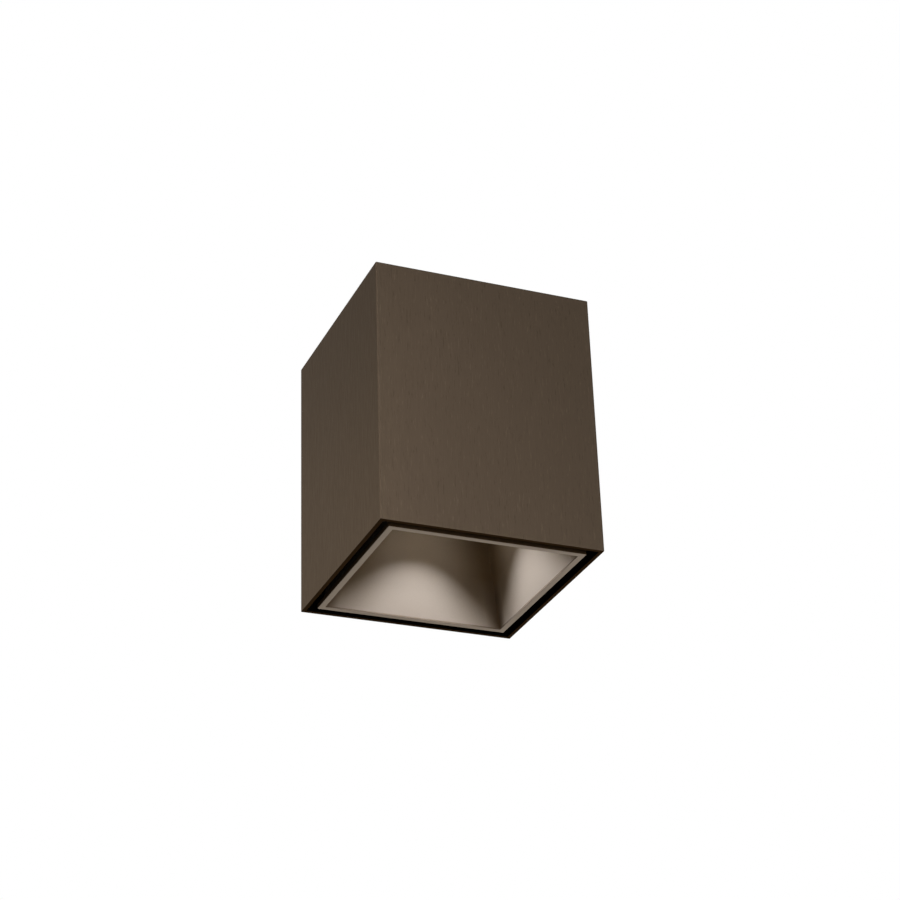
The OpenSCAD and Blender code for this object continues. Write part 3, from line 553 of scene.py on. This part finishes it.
# Fine even grain in the bump, and a faint broad cloud in the colour and roughness.
def mouldedPlastic(name, colour, roughness, own):
    p = {**plasticValues, **own}
    material, tree, shader = newMaterial(name, colour, roughness)
    cloud = addNoise(tree, (p["cloud"],) * 3, 3)
    shadeColour(tree, shader, colour, vary(tree, cloud, p["contrast"]))
    change = p["roughSpread"]
    spreadRoughness(tree, shader, cloud, roughness - change, roughness + change)
    addGrain(tree, shader, p["grain"])
    setInputs(shader, {"Specular IOR Level": p["gloss"]})
    return material


stock = {name: brushedMetal(name, m) for name, m in brushedMetals.items()}
stock.update({name: platedMetal(name, *m) for name, m in platedMetals.items()})
stock.update({name: mouldedPlastic(name, *m) for name, m in plastics.items()})
print("stock materials made:", len(stock))

# Housing
housingShape = {
    "edgeRound": 0.16 * mm,  # round-over along the two open ends
    "cornerRadius": 0.40 * mm,  # of the four upright edges
    "cornerPaintedHighlight": 0.16,  # painted highlight: the rounded upright edges are lighter by this share
    "insideCorner": 0.10 * mm,
    "wall": 1.5 * mm,
    "margin": 0.05 * mm,  # faces this near to the inner face or the lower rim take its painted shade
}
bronzeFinish = {
    "colour": (0.0456, 0.0332, 0.0230),
    "grazing": (0.53, 0.51, 0.49),
    "roughness": 0.42,
    "along": "Z",
    "streak": (0.35 * mm, 7 * mm),  # width and length of a brush mark
    "contrast": 0.022,
    "dash": 0.2,
}
# painted shade inside the housing: near black at the mouth, over the shadow gap, a dark paint
# higher up
insideShadeValues = {
    "mouthColour": (0.0036, 0.0028, 0.0021),
    "upperColour": (0.045, 0.040, 0.035),
    "roughness": 0.9,
    "grain": (1800, 0.2, 0.02 * mm),
}


# Matt paint that goes from the mouth's colour, a painted shade, to the upper one between the two
# heights.
def insideShadePaint(name, p, startZ, endZ):
    material, tree, shader = newMaterial(name, p["mouthColour"], p["roughness"])
    setInputs(shader, {"Specular IOR Level": 0})
    share = spread(tree, objectAxes(tree)["Z"], 0, 1, startZ, endZ)
    blendColour(tree, shader, p["mouthColour"], p["upperColour"], share)
    addGrain(tree, shader, p["grain"])
    return material


# A closed wall profile, outer face, top rim, inner face, lower rim, carried round the square.
def makeHousing(s, materials):
    outer, bottom, top = extent("housing")
    inner = outer - s["wall"]
    profile, source = filletedProfile(
        [(outer, bottom), (outer, top), (inner, top), (inner, bottom)], [s["edgeRound"]] * 4)
    half, z = profile.T
    corner = np.where(source < 2, s["cornerRadius"] - (outer - half), s["insideCorner"])
    middle = (half + np.roll(half, -1)) / 2
    level = (z + np.roll(z, -1)) / 2
    # band 1, the lower rim, and band 2, the inner face, take painted shade in place of the bronze
    tests = [middle < inner + s["margin"], level < bottom + s["margin"]]
    piece = gridPiece("housingShell", [squareRings(half, half, corner, z)], closedRows=True,
                      bands=np.select(tests, [2, 1], 0))
    install(piece, materials, "housing")


# painted highlight along the housing's four upright edges
bronzeEdgeHighlight = (2 * cadBox[1][0], housingShape["cornerRadius"], housingShape["cornerPaintedHighlight"])
bronze = brushedMetal("bronzeAnodised", bronzeFinish, bronzeEdgeHighlight)
# painted shade for the housing's inner face
insidePaintedShade = insideShadePaint("insidePaintedShade", insideShadeValues, low("optic_carrier")[2],
                          high("heat_sink")[2])
makeHousing(housingShape, [bronze, stock["housingRimPaintedShade"], insidePaintedShade])
print("housing made")

# Reflector
reflectorShape = {
    "rimRound": 0.20 * mm,  # along the rim's outer edge
    "flangeRound": 0.15 * mm,  # along the flange's upper edge
    "footRound": 0.10 * mm,  # where the leaning outer wall leaves the flange
    "topRound": 0.30 * mm,
    "seatRound": 0.10 * mm,
    "creaseRound": 0.05 * mm,  # between the lip and the leaning wall
    "mouthRound": 0.12 * mm,  # along the mouth
    "outerCorner": 0.35 * mm,  # radii of the four corners: rim, outer wall's foot and top, inside
    "footCorner": 0.80 * mm,
    "topCorner": 0.90 * mm,
    "innerCorner": 0.30 * mm,
    "leastCorner": 0.04 * mm,
    "rimWidth": 2.2 * mm,
    "rimHeight": 1.7 * mm,
    "rimBand": 0.1 * mm,  # faces below this height take the rim's paint
    "lipHeight": 0.6 * mm,
    "taper": 12,  # degrees from upright
    "skin": 1.2 * mm,
    "plate": 0.8 * mm,  # thickness, round the aperture
    "fitGap": 0.1 * mm,  # round the glass and the cone's flange
    "aperture": 12.7 * mm,
}
satinValues = {
    "roughness": 0.5,
    "roughSpread": 0.05,
    "flake": 0.25 * mm,
    "flakeContrast": 0.045,
    "cloud": 70,
    "cloudContrast": 0.02,
    "grain": (900, 0.15, 0.02 * mm),
}
# copies of one satin bronze: the rim's lighter, a painted light; the lip's, side's and plate's
# darker, a painted shade
satinPaints = {  # colour and gloss, in the order of the reflector's bands
    "satinBronze": ((0.135, 0.104, 0.078), 0),
    "satinBronzeRimPaintedLight": ((0.234, 0.186, 0.140), 0.03),
    "satinBronzeLipPaintedShade": ((0.078, 0.054, 0.036), 0),
    "satinBronzeSidePaintedShade": ((0.066, 0.040, 0.020), 0),
    "satinBronzeOuter": ((0.135, 0.104, 0.078), 0.2),
    "satinBronzePlatePaintedShade": ((0.104, 0.076, 0.053), 0),
}
reflectorShadeValues = {
    "corner": (0.53, 0.44, 0.31),  # painted shade: what the inner corners keep of the colour
    "cornerRatio": (0.3, 0.95),  # of the smaller side to the larger, where it starts and is full
    "cornerShare": (0.1, 1),  # at the mouth and from the corner's depth up
    "cornerDepth": 18 * mm,
    "cornerLineShade": (0.36, 0.28, 0.19),  # painted shade: what is left of it on the corner lines, at the mouth
    "cornerLineShadeWidth": 5 * mm,
    "cornerLineShadeDepth": (3 * mm, 26 * mm),  # from the mouth, where the corner lines' painted shade starts to fade and is gone
    "light": (1.18, 0.98),  # painted light: factor on all of it, near the mouth and deeper in
    "lightDepth": (1 * mm, 11 * mm),
}


# Satin paint: a fine flake cell lightens or darkens the colour a little, under a faint
# orange-peel bump.
def satinPaint(name, colour, gloss, p=satinValues):
    material, tree, shader = newMaterial(name, colour, p["roughness"])
    setInputs(shader, {"Specular IOR Level": gloss})
    speck = addNoise(tree, (1 / p["flake"],) * 3, 2, 0.7)
    cloud = addNoise(tree, (p["cloud"],) * 3)
    factor = combine(tree, vary(tree, speck, p["flakeContrast"]),
                     vary(tree, cloud, p["cloudContrast"]))
    shadeColour(tree, shader, colour, factor)
    rough, change = p["roughness"], p["roughSpread"]
    spreadRoughness(tree, shader, speck, rough + change, rough - change)
    addGrain(tree, shader, p["grain"])
    return material


# Paints shade into a satin paint by its place in the reflector. Towards the corners its colour is
# multiplied by the corner's, a painted shade, by smoothstep(min(|x|, |y|) / max(|x|, |y|)) times a
# share that grows with height. On the corner lines it is multiplied by a darker painted shade, by a
# share that falls with max(|x|, |y|) - min(|x|, |y|) and with height. All of it is a little lighter
# near the mouth, a painted light.
def paintReflectorShade(material, d, mouthZ):
    tree = material.node_tree
    shader = tree.nodes["Principled BSDF"]
    colour = shader.inputs["Base Color"].links[0].from_socket
    height = objectAxes(tree)["Z"]
    sides = sidewaysAxes(tree)
    least = combine(tree, *sides, "MINIMUM")
    most = combine(tree, *sides, "MAXIMUM")
    ratio = combine(tree, least, most, "DIVIDE")
    # painted shade towards the corners
    near = spread(tree, ratio, 0, 1, *d["cornerRatio"])
    near.node.interpolation_type = "SMOOTHSTEP"
    share = spread(tree, height, *d["cornerShare"], mouthZ, mouthZ + d["cornerDepth"])
    colour = blendColour(tree, shader, colour, d["corner"], combine(tree, near, share), "MULTIPLY")
    # painted shade along the corner lines
    line = combine(tree, most, least, "SUBTRACT")
    line = spread(tree, line, 1, 0, 0, d["cornerLineShadeWidth"])
    depth = spread(tree, height, 1, 0, *(mouthZ + v for v in d["cornerLineShadeDepth"]))
    colour = blendColour(tree, shader, colour, d["cornerLineShade"], combine(tree, line, depth), "MULTIPLY")
    # painted light near the mouth
    light = spread(tree, height, *d["light"], *(mouthZ + v for v in d["lightDepth"]))
    shadeColour(tree, shader, colour, light)


# A closed profile carried round a square: up the rim's side, over the flange, up the leaning outer
# wall, down through the round seats, where corner radius = half width makes each ring a circle,
# and back down the leaning inner wall, half = mouth - (z - lip) * tan(taper).
def makeReflector(s, materials):
    half, rim, top = extent("reflector")
    glassZ, coneZ = low("cover_glass")[2], low("glare_cone")[2]
    glassR = high("cover_glass")[0] + s["fitGap"]
    coneR = high("glare_cone")[0] + s["fitGap"]
    plate = glassZ - s["plate"]
    lean = math.tan(math.radians(s["taper"]))
    skin = s["skin"] / math.cos(math.radians(s["taper"]))
    mouth, lip, flange = half - s["rimWidth"], rim + s["lipHeight"], rim + s["rimHeight"]
    plateHalf = mouth - (plate - lip) * lean
    wallFoot = mouth + skin - (flange - lip) * lean
    wallTop = plateHalf + skin - (top - plate) * lean
    outside, inside, seat = s["outerCorner"], s["innerCorner"], s["seatRound"]
    table = np.array([  # half width, height, fillet, corner radius (0 for a round ring)
        (half, rim, s["rimRound"], outside),
        (half, flange, s["flangeRound"], outside),
        (wallFoot, flange, s["footRound"], s["footCorner"]),
        (wallTop, top, s["topRound"], s["topCorner"]),
        (coneR, top, seat, 0),
        (coneR, coneZ, seat, 0),
        (glassR, coneZ, seat, 0),
        (glassR, glassZ, seat, 0),
        (s["aperture"], glassZ, seat, 0),
        (s["aperture"], plate, seat, 0),
        (plateHalf, plate, seat, inside),
        (mouth, lip, s["creaseRound"], inside),
        (mouth, rim, s["mouthRound"], inside),
    ])
    profile, source = filletedProfile(table[:, :2], table[:, 2], steps=5)
    wide, z = profile.T
    corner = np.maximum(table[source, 3] + wide - table[source, 0], s["leastCorner"])
    corner = np.where(table[source, 3] == 0, wide, corner)
    rings = squareRings(wide, wide, corner, z, perCorner=20)
    level = (z + np.roll(z, -1)) / 2
    # rows up to corner 1 are the rim's side, 2 to 7 the outside, 8 and 9 the plate, then the inside
    # the rim's band takes painted light; the side, plate and lip bands take painted shade
    tests = [level < rim + s["rimBand"], source < 2, source < 8, source < 10,
             (source > 10) & (level < lip)]
    bands = np.select(tests, [1, 3, 4, 5, 2], 0)
    piece = gridPiece("reflectorShell", [rings], closedRows=True, sharpDeg=50, bands=bands)
    install(piece, materials, "reflector")


paints = [satinPaint(name, *paint) for name, paint in satinPaints.items()]
# painted corner shade and painted light near the mouth on the inner walls' paint
paintReflectorShade(paints[0], reflectorShadeValues, low("reflector")[2])
makeReflector(reflectorShape, paints)
print("reflector made")

# Cover glass
glassShape = {
    "round": 0.15 * mm,
    "colour": (0.02, 0.022, 0.023),
    "roughness": 0.08,
    "alpha": 0.12,
}


# Mostly see-through: a low alpha lets the lamp's light pass, with a gloss of its own.
def glassMaterial(s):
    material, _, shader = newMaterial("clearGlass", s["colour"], s["roughness"])
    setInputs(shader, {"Alpha": s["alpha"]})
    return material


# A disc: its section runs from the axis to the radius, up its rounded edge and back to the axis.
def makeGlass(s):
    r, bottom, top = extent("cover_glass")
    axisRound, edgeRound = 0.001 * mm, s["round"]
    edge, source = filletedProfile([(0, bottom), (r, bottom), (r, top), (0, top)],
                                   [axisRound, edgeRound, edgeRound, axisRound])
    profile = np.vstack([(0, bottom), edge[(source == 1) | (source == 2)], (0, top)])
    install(turnedPiece("coverGlass", profile, closed=False), [glassMaterial(s)], "cover_glass")


makeGlass(glassShape)

# Glare cone
coneShape = {
    "wall": 0.8 * mm,
    "foot": 14.25 * mm,  # inner radii
    "mouth": 6.5 * mm,
    "shoulder": 0.06,  # the outer wall starts this share of the taper inside the foot
    "steps": 9,
    "stepLift": 0.02 * mm,  # each step starts this far above the last one's tip
    "tipHeight": 0.25 * mm,
    "tipShare": 0.15,  # of a step's width, still to go where its tip begins
    "chamfer": 0.1 * mm,
}


# The inner wall is a row of equal steps. Each starts at the last one's radius, leans in over most
# of its height, and ends in a short tip on the straight line from foot to mouth.
def makeCone(s):
    flange, bottom, top = extent("glare_cone")
    wall, cut, foot, mouth, steps = (s[k] for k in ("wall", "chamfer", "foot", "mouth", "steps"))
    share = np.arange(1, steps + 1) / steps
    z = bottom + share * (top - bottom)
    r = foot + share * (mouth - foot)
    drop, rise = (foot - mouth) / steps, (top - bottom) / steps
    inner = np.stack([np.stack([r + drop, z - rise + s["stepLift"]], 1),
                      np.stack([r + drop * s["tipShare"], z - s["tipHeight"]], 1),
                      np.stack([r, z], 1)], 1).reshape(-1, 2)
    inner[0] = (foot, bottom)
    shoulder = foot + wall - s["shoulder"] * (foot - mouth)
    outer = np.array([(mouth + wall, top), (shoulder, bottom + wall),
                      (flange - cut, bottom + wall), (flange, bottom + wall - cut),
                      (flange, bottom + cut), (flange - cut, bottom)])
    piece = turnedPiece("glareCone", np.vstack([inner, outer]), sharpDeg=25)
    install(piece, [stock["coneBlack"]], "glare_cone")


makeCone(coneShape)

# Keeper ring
keeperShape = {
    "bore": 16.5 * mm,
    "edge": 0.18 * mm,
}


# A flat ring: a rectangle between bore and radius with four rounded corners, turned.
def makeKeeper(s):
    r, bottom, top = extent("keeper_ring")
    corners = [(s["bore"], bottom), (r, bottom), (r, top), (s["bore"], top)]
    profile, _ = filletedProfile(corners, [s["edge"]] * 4, 3)
    install(turnedPiece("keeperRing", profile, 128), [stock["blackenedSteel"]], "keeper_ring")


makeKeeper(keeperShape)

# Cable grommet
grommetShape = {
    "bore": 4.5 * mm,  # radii
    "waist": 6.9 * mm,
    "lip": 1.2 * mm,
    "rounds": (0.5, 0.45, 0.4, 0.05),  # mm, at the bore, both edges of a lip and the waist
}


# Two round lips and a narrower waist between them: an I-shaped section round a plain bore, turned.
def makeGrommet(s):
    r, bottom, top = extent("cable_grommet")
    bore, waist, lip = s["bore"], s["waist"], s["lip"]
    corners = [(bore, bottom), (r, bottom), (r, bottom + lip), (waist, bottom + lip),
               (waist, top - lip), (r, top - lip), (r, top), (bore, top)]
    rounds = np.array(s["rounds"] + s["rounds"][::-1]) * mm
    profile, _ = filletedProfile(corners, rounds, 5, 0)
    install(turnedPiece("cableGrommet", profile, 72), [stock["rubber"]], "cable_grommet")


makeGrommet(grommetShape)
print("glass, cone, keeper ring and grommet made")

# Light source
lightShape = {
    "dam": 0.42 * mm,  # width of the white ring round the phosphor
    "crest": 0.6,  # its crest's height, in half widths
    "dip": 0.07 * mm,
    "phosphor": (0.85, 0.62, 0.20),
    "roughness": 0.5,
    "glow": (1.0, 0.93, 0.82),
    "glowStrength": 6.0,
    "grain": (6000, 0.3, 0.02 * mm),
    "beam": (0.398, 6.0 * mm, 0.7 * mm),  # watts, disc size, distance below the emitter
    "beamColour": (0.95, 1.09, 1.29),
    "haze": (0.0185, 24 * mm, 0.1 * mm),  # the same, below the cover glass
    "hazeColour": (1.0, 0.97, 0.87),
}


# One even glowing colour, with fine grains in its bump.
def phosphorMaterial(s):
    material, tree, shader = newMaterial("phosphor", s["phosphor"], s["roughness"])
    setInputs(shader, {"Emission Color": (*s["glow"], 1), "Emission Strength": s["glowStrength"]})
    addGrain(tree, shader, s["grain"])
    return material


# A flat disc with a half-round dam at its edge and the phosphor a little below the dam's crest.
def makeEmitter(s):
    r, face, back = extent("led_emitter")
    half = s["dam"] / 2
    t = np.linspace(0, math.pi, 9)
    crest = np.stack([r - half + half * np.cos(t), face + half * (1 - np.sin(t)) * s["crest"]], 1)
    profile = np.vstack([(0, back), (r, back), (r, face + half), crest,
                         (r - s["dam"], face + s["dip"]), (0, face + s["dip"])])
    bands = np.where(np.arange(len(profile)) >= len(profile) - 2, 1, 0)
    piece = turnedPiece("emitterDisc", profile, 64, closed=False, bands=bands)
    install(piece, [stock["circuitWhite"], phosphorMaterial(s)], "led_emitter")


def addBeam(name, node, beam, colour):
    watts, size, below = beam
    place = Matrix.Translation((0, 0, low(node)[2] - below))
    lamp = addLight(name, "DISK", (size, size), watts, place)
    lamp.data.color = colour
    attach(lamp, bodyOf[node])


makeEmitter(lightShape)
addBeam("beam", "led_emitter", lightShape["beam"], lightShape["beamColour"])
addBeam("haze", "cover_glass", lightShape["haze"], lightShape["hazeColour"])
print("light source made")

# Wires
wireShape = {
    "mains": 0.9 * mm,  # radii
    "lead": 0.65 * mm,
    "mainsX": 4 * mm,  # where the two mains wires and the pair of leads leave the board
    "leadX": 17.4 * mm,
    "leadStep": 0.7 * mm,  # from the pair's middle to each lead
    "outletRise": 6.6 * mm,  # above the case's floor
    "portRise": 5 * mm,
    "portDepth": 2 * mm,
    "liveBow": 5 * mm,  # above the outlet
    "neutralBow": 5.6 * mm,
    "lugOut": 1.4 * mm,  # straight part outside the ring's lug
    "lugRise": 1.4 * mm,
    "mainsShares": ((0.05, 0.1, 0.1), (0.2, 0.3, 0.6), (0.4, 0.5, 1), (0.65, 0.65, 0.93),
                    (0.85, 0.8, 0.45), (0.97, 0.9, -0.11)),  # of the way in X and Y, and the bow
    "earthShares": ((0.3, 0.53, 3.0), (0.67, 0.6, 5.2), (0.9, 0.74, 6.0), (0.98, 0.88, 5.6)),
    "leadShares": (0, 0.33, 0.67, 0.9),  # of the way from the tray down to the heat sink's foot
}
stripeValues = {
    "first": (0.62, 0.56, 0.02),
    "second": (0.02, 0.26, 0.05),
    "roughness": 0.38,
    "turnsPerMetre": 8,
    "border": (-0.28, -0.22),  # cosine of the angle at which one colour goes over to the other
    "grain": (2500, 0.3, 0.015 * mm),
}


# Two colours side by side along the wire: the wrap attribute's angle, turned by its run, picks one
# by its cosine, x * cos(turn) + y * sin(turn).
def stripedPvc(name, s):
    material, tree, shader = newMaterial(name, s["first"], s["roughness"])
    wrap = tree.nodes.new("ShaderNodeAttribute")
    wrap.attribute_name = "wrap"
    parts = tree.nodes.new("ShaderNodeSeparateXYZ")
    tree.links.new(wrap.outputs["Vector"], parts.inputs[0])
    turn = combine(tree, parts.outputs["Z"])
    turn.node.inputs[1].default_value = 2 * math.pi * s["turnsPerMetre"]
    waves = [combine(tree, combine(tree, turn, operation=wave), parts.outputs[axis])
             for wave, axis in (("COSINE", "X"), ("SINE", "Y"))]
    total = combine(tree, *waves, "ADD")
    share = spread(tree, total, 0, 1, *s["border"])
    blendColour(tree, shader, s["first"], s["second"], share)
    addGrain(tree, shader, s["grain"])
    return material


# The value at this share of the way from start to end.
def between(start, end, share=0.5):
    return start + share * (end - start)


# Catmull-Rom: between b and c, (2b + (c-a)t + (2a-5b+4c-d)t^2 + (3b-a-3c+d)t^3) / 2.
def smoothRoute(points, steps):
    p = np.array(points, float)
    q = np.vstack([p[:1], p, p[-1:]])
    a, b, c, d = (q[k : len(q) - 3 + k, None, :] for k in range(4))
    t = np.linspace(0, 1, steps, endpoint=False)[None, :, None]
    curve = (2 * b + (c - a) * t + (2 * a - 5 * b + 4 * c - d) * t**2
             + (3 * b - a - 3 * c + d) * t**3) / 2
    return np.vstack([curve.reshape(-1, 3), p[-1:]])


# A circle carried along the route: point + radius * (cos a * side + sin a * other), where side is
# one level direction less its share along the heading. The wrap attribute holds cos and sin of the
# angle and the length run, for stripes.
def makeWire(name, node, route, radius, material, steps=5, around=20):
    p = smoothRoute(route, steps)
    heading = np.gradient(p, axis=0)
    heading[0], heading[-1] = route[1] - route[0], route[-1] - route[-2]
    heading /= np.linalg.norm(heading, axis=1)[:, None]
    level = np.array([1.0, -1.0, 0])  # no wire here runs this way
    side = level - (heading @ level)[:, None] * heading
    side /= np.linalg.norm(side, axis=1)[:, None]
    other = np.cross(heading, side)
    a = np.linspace(0, 2 * math.pi, around, endpoint=False)[None, :]
    cos, sin = np.cos(a)[..., None], np.sin(a)[..., None]
    grid = p[:, None, :] + radius * (cos * side[:, None, :] + sin * other[:, None, :])
    run = np.concatenate([[0], np.cumsum(np.linalg.norm(np.diff(p, axis=0), axis=1))])
    wrap = np.stack(np.broadcast_arrays(np.cos(a), np.sin(a), run[:, None]), -1)
    piece = gridPiece(name, [grid], capEnds=True, wrap=wrap, sharpDeg=60)
    install(piece, [material], node)


def makeWires(s):
    gearZ = low("driver_case")[2]
    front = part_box("driver_lid")[1][1]
    blockFront = low("terminal_block")[1]
    boardTop = high("driver_board")[2]
    outlet, port = gearZ + s["outletRise"], gearZ + s["portRise"]
    liveX, neutralX, earthX = (between(low(n)[0], high(n)[0]) for n in (
        "release_button_live", "release_button_neutral", "release_button_earth"))

    # up from the board and out through the case's front
    def fromBoard(x):
        return [(x, front - 3.4 * mm, boardTop), (x, front - 3.4 * mm, boardTop + 0.8 * mm),
                (x, front - 2.4 * mm, outlet - 0.1 * mm), (x, front - 1.2 * mm, outlet),
                (x, front, outlet)]

    def intoPort(x):
        return [(x, blockFront, port), (x, blockFront + s["portDepth"], port)]

    # from start to end along X while it rises in a bow
    def mainsRoute(start, end, bow):
        arc = [(between(start, end, x), between(front, blockFront, y), outlet + z * bow)
               for x, y, z in s["mainsShares"]]
        return np.array(fromBoard(start) + arc + intoPort(end))

    makeWire("wireLive", "wire_live", mainsRoute(s["mainsX"], liveX, s["liveBow"]),
             s["mains"], stock["brownPvc"])
    makeWire("wireNeutral", "wire_neutral", mainsRoute(-s["mainsX"], neutralX, s["neutralBow"]),
             s["mains"], stock["bluePvc"])

    # the earth wire's shares give X and Y, and mm above the case's floor
    lugEnd, lugY = high("earth_ring")[0], between(low("earth_ring")[1], high("earth_ring")[1])
    lugOut, lugZ = lugEnd + s["lugOut"], gearZ + s["lugRise"]
    arc = [(between(lugOut, earthX, x), between(front, blockFront, y), gearZ + z * mm)
           for x, y, z in s["earthShares"]]
    route = [(lugEnd, lugY, lugZ), (lugOut, lugY, lugZ)] + arc + intoPort(earthX)
    makeWire("wireEarth", "wire_earth", np.array(route), s["mains"],
             stripedPvc("greenYellowPvc", stripeValues))

    # the two leads leave side by side along X, and a quarter turn brings them side by side along Y
    x, sink, tray = s["leadX"], low("heat_sink")[2], low("gear_tray")[2]
    board = low("led_board")[2] - s["lead"]
    over = [(x, front + 1.8 * mm, outlet - 0.1 * mm), (x, front + 3.8 * mm, outlet - 0.8 * mm),
            (x, -0.2 * mm, outlet - 2.4 * mm), (x, 0, gearZ + 1.8 * mm)]
    down = [(x, 0, between(tray, sink, share)) for share in s["leadShares"]]
    along = [(x - 0.3 * mm, 0, sink - 0.2 * mm), (x - 1.3 * mm, 0, sink - 1.4 * mm),
             (x - 2.8 * mm, 0, board), (x - 6 * mm, 0, board),
             (high("led_board")[0] - 0.8 * mm, 0, board)]
    route = np.array(fromBoard(x) + over + down + along)
    firstTurned, turnLength = 4, 5  # points of the route
    turn = np.radians(90) * np.clip((np.arange(len(route)) - firstTurned) / turnLength, 0, 1)
    apart = s["leadStep"] * np.stack([np.cos(turn), np.sin(turn), 0 * turn], 1)
    makeWire("ledLeadRed", "led_lead_red", route + apart, s["lead"], stock["redSilicone"],
             around=16)
    makeWire("ledLeadBlack", "led_lead_black", route - apart, s["lead"], stock["blackSilicone"],
             around=16)


makeWires(wireShape)
print("wires made")

# The driver's lid: a cap with a skirt that drops into the case, and cooling ribs moulded on its top
lidShape = {
    "corner": 1.5 * mm,
    "leastCorner": 0.3 * mm,
    "edge": 0.6 * mm,  # rounding of the top edge
    "smallEdge": 0.2 * mm,
    "seatEdge": 0.1 * mm,
    "wall": 1.2 * mm,
    "play": 0.1 * mm,  # between the skirt and the case
    "flatInset": 8 * mm,  # where the one flat face in the middle of top and ceiling starts
    "ribWidth": 1.5 * mm,
    "ribHeight": 0.5 * mm,
    "ribRound": 0.3 * mm,
    "ribRoot": 0.2 * mm,  # how far the ribs go into the top
    "ribStep": 3.4 * mm,
    "ribMargin": 4.5 * mm,  # bare border round the ribs
}


# Rings round the lid's middle at (inset, height) points of its section: from the middle of the
# hollow's ceiling, down the skirt's inside, up its outside and over the top. Each rib is a stack of
# rounded rings whose inset is r * (1 - cos a) at height top - r + r * sin a.
def makeLid(s):
    lo, hi = low("driver_lid"), high("driver_lid")
    centre, half = (lo + hi) / 2, (hi - lo) / 2
    bottom, top, seat = lo[2], hi[2], high("driver_case")[2]
    skirt, ceiling = s["wall"] + s["play"], top - s["wall"]
    hollow, flat, small, tiny = skirt + s["wall"], s["flatInset"], s["smallEdge"], 0.01 * mm
    table = np.array([  # inset, height, fillet
        (flat, ceiling, tiny), (hollow, ceiling, small), (hollow, bottom, small),
        (skirt, bottom, small), (skirt, seat, s["seatEdge"]), (0, seat, small),
        (0, top, s["edge"]), (flat, top, tiny)])
    profile, source = filletedProfile(table[:, :2], table[:, 2])
    inner = (source > 0) & (source < len(table) - 1)
    profile = np.vstack([table[0, :2], profile[inner], table[-1, :2]])
    inset, z = profile.T
    rings = [squareRings(half[0] - inset, half[1] - inset,
                         np.maximum(s["corner"] - inset, s["leastCorner"]), z, perCorner=8)]
    r, width = s["ribRound"], s["ribWidth"] / 2
    a = np.radians(np.linspace(0, 90, 5))
    inset = np.concatenate([[0], r * (1 - np.cos(a))])
    z = np.concatenate([[top - s["ribRoot"]], top + s["ribHeight"] - r + r * np.sin(a)])
    rib = squareRings(width - inset, half[1] - s["ribMargin"] - inset, width - inset - tiny, z, 5)
    count = int((2 * half[0] - 2 * s["ribMargin"]) / s["ribStep"]) + 1
    rings += [rib + [x, 0, 0] for x in (np.arange(count) - (count - 1) / 2) * s["ribStep"]]
    rings = [ring + [centre[0], centre[1], 0] for ring in rings]
    piece = gridPiece("driverLid", rings, capEnds=True, sharpDeg=50)
    install(piece, [stock["whitePlastic"]], "driver_lid")


makeLid(lidShape)
print("driver lid made")

# Sheet, cast, turned and moulded pieces that keep their solid's shape
copyValues = {
    "mergeAt": 0.001 * mm,
    "flatDeg": 0.4,  # faces that turn by less than this are joined
    "sharpDeg": 35,
    "bevelDeg": 40,  # edges that turn by more than this are rounded
    "segments": 2,
}
edgeWidths = {  # material and width in mm
    "corner_blocks": ("rawAluminium", 0.25),
    "heat_sink": ("rawAluminium", 0.18),
    "standoffs": ("zincSteel", 0.18),
    "gear_tray": ("zincSteel", 0.15),
    "tray_screws": ("zincSteel", 0.2),
    "driver_case": ("whitePlastic", 0.3),
    "driver_board": ("circuitGreen", 0.05),
    "driver_transformer": ("ferrite", 0.2),
    "driver_capacitors": ("capacitorSleeve", 0.4),
    "driver_screws": ("zincSteel", 0.2),
    "terminal_block": ("whitePlastic", 0.3),
    "terminal_contacts": ("copper", 0.1),
    "terminal_screws": ("zincSteel", 0.2),
    "release_button_live": ("orangePlastic", 0.25),
    "release_button_neutral": ("orangePlastic", 0.25),
    "release_button_earth": ("orangePlastic", 0.25),
    "cable_clamp": ("zincSteel", 0.25),
    "cable_clamp_screws": ("zincSteel", 0.2),
    "earth_screw": ("brass", 0.25),
    "earth_ring": ("copper", 0.12),
    "thermal_pad": ("thermalSilicone", 0.04),
    "led_board": ("circuitWhite", 0.06),
    "led_holder": ("whitePlastic", 0.25),
    "led_holder_screws": ("zincSteel", 0.2),
    "optic_carrier": ("blackPlastic", 0.3),
    "carrier_screws": ("zincSteel", 0.2),
    "magnets": ("magnetNickel", 0.3),
    "keeper_pins": ("zincSteel", 0.15),
    "ceiling_bracket": ("zincSteel", 0.25),
    "leaf_springs": ("springSteel", 0.08),
    "spring_rivets": ("zincSteel", 0.25),
}


# A copy of the CAD node with its doubles merged and its flats joined, and each sharp edge rounded
# to the given width by a Bevel modifier.
def edgedCopy(node, material, width, c=copyValues):
    mesh = frame["nodes"][node].data.copy()
    mesh.materials.clear()
    work = bmesh.new()
    work.from_mesh(mesh)
    bmesh.ops.remove_doubles(work, verts=work.verts, dist=c["mergeAt"])
    bmesh.ops.dissolve_limit(work, angle_limit=math.radians(c["flatDeg"]), verts=work.verts,
                             edges=work.edges)
    piece = addPiece(node + "Finished", mesh, work, c["sharpDeg"])
    bevel = piece.modifiers.new("edges", "BEVEL")
    bevel.width = width
    bevel.segments = c["segments"]
    bevel.limit_method = "ANGLE"
    bevel.angle_limit = math.radians(c["bevelDeg"])
    bevel.use_clamp_overlap = True
    piece.modifiers.new("flats", "WEIGHTED_NORMAL").keep_sharp = True
    install(piece, [material], node)


for node, (material, width) in edgeWidths.items():
    edgedCopy(node, stock[material], width * mm)
print("carried pieces finished:", len(edgeWidths))
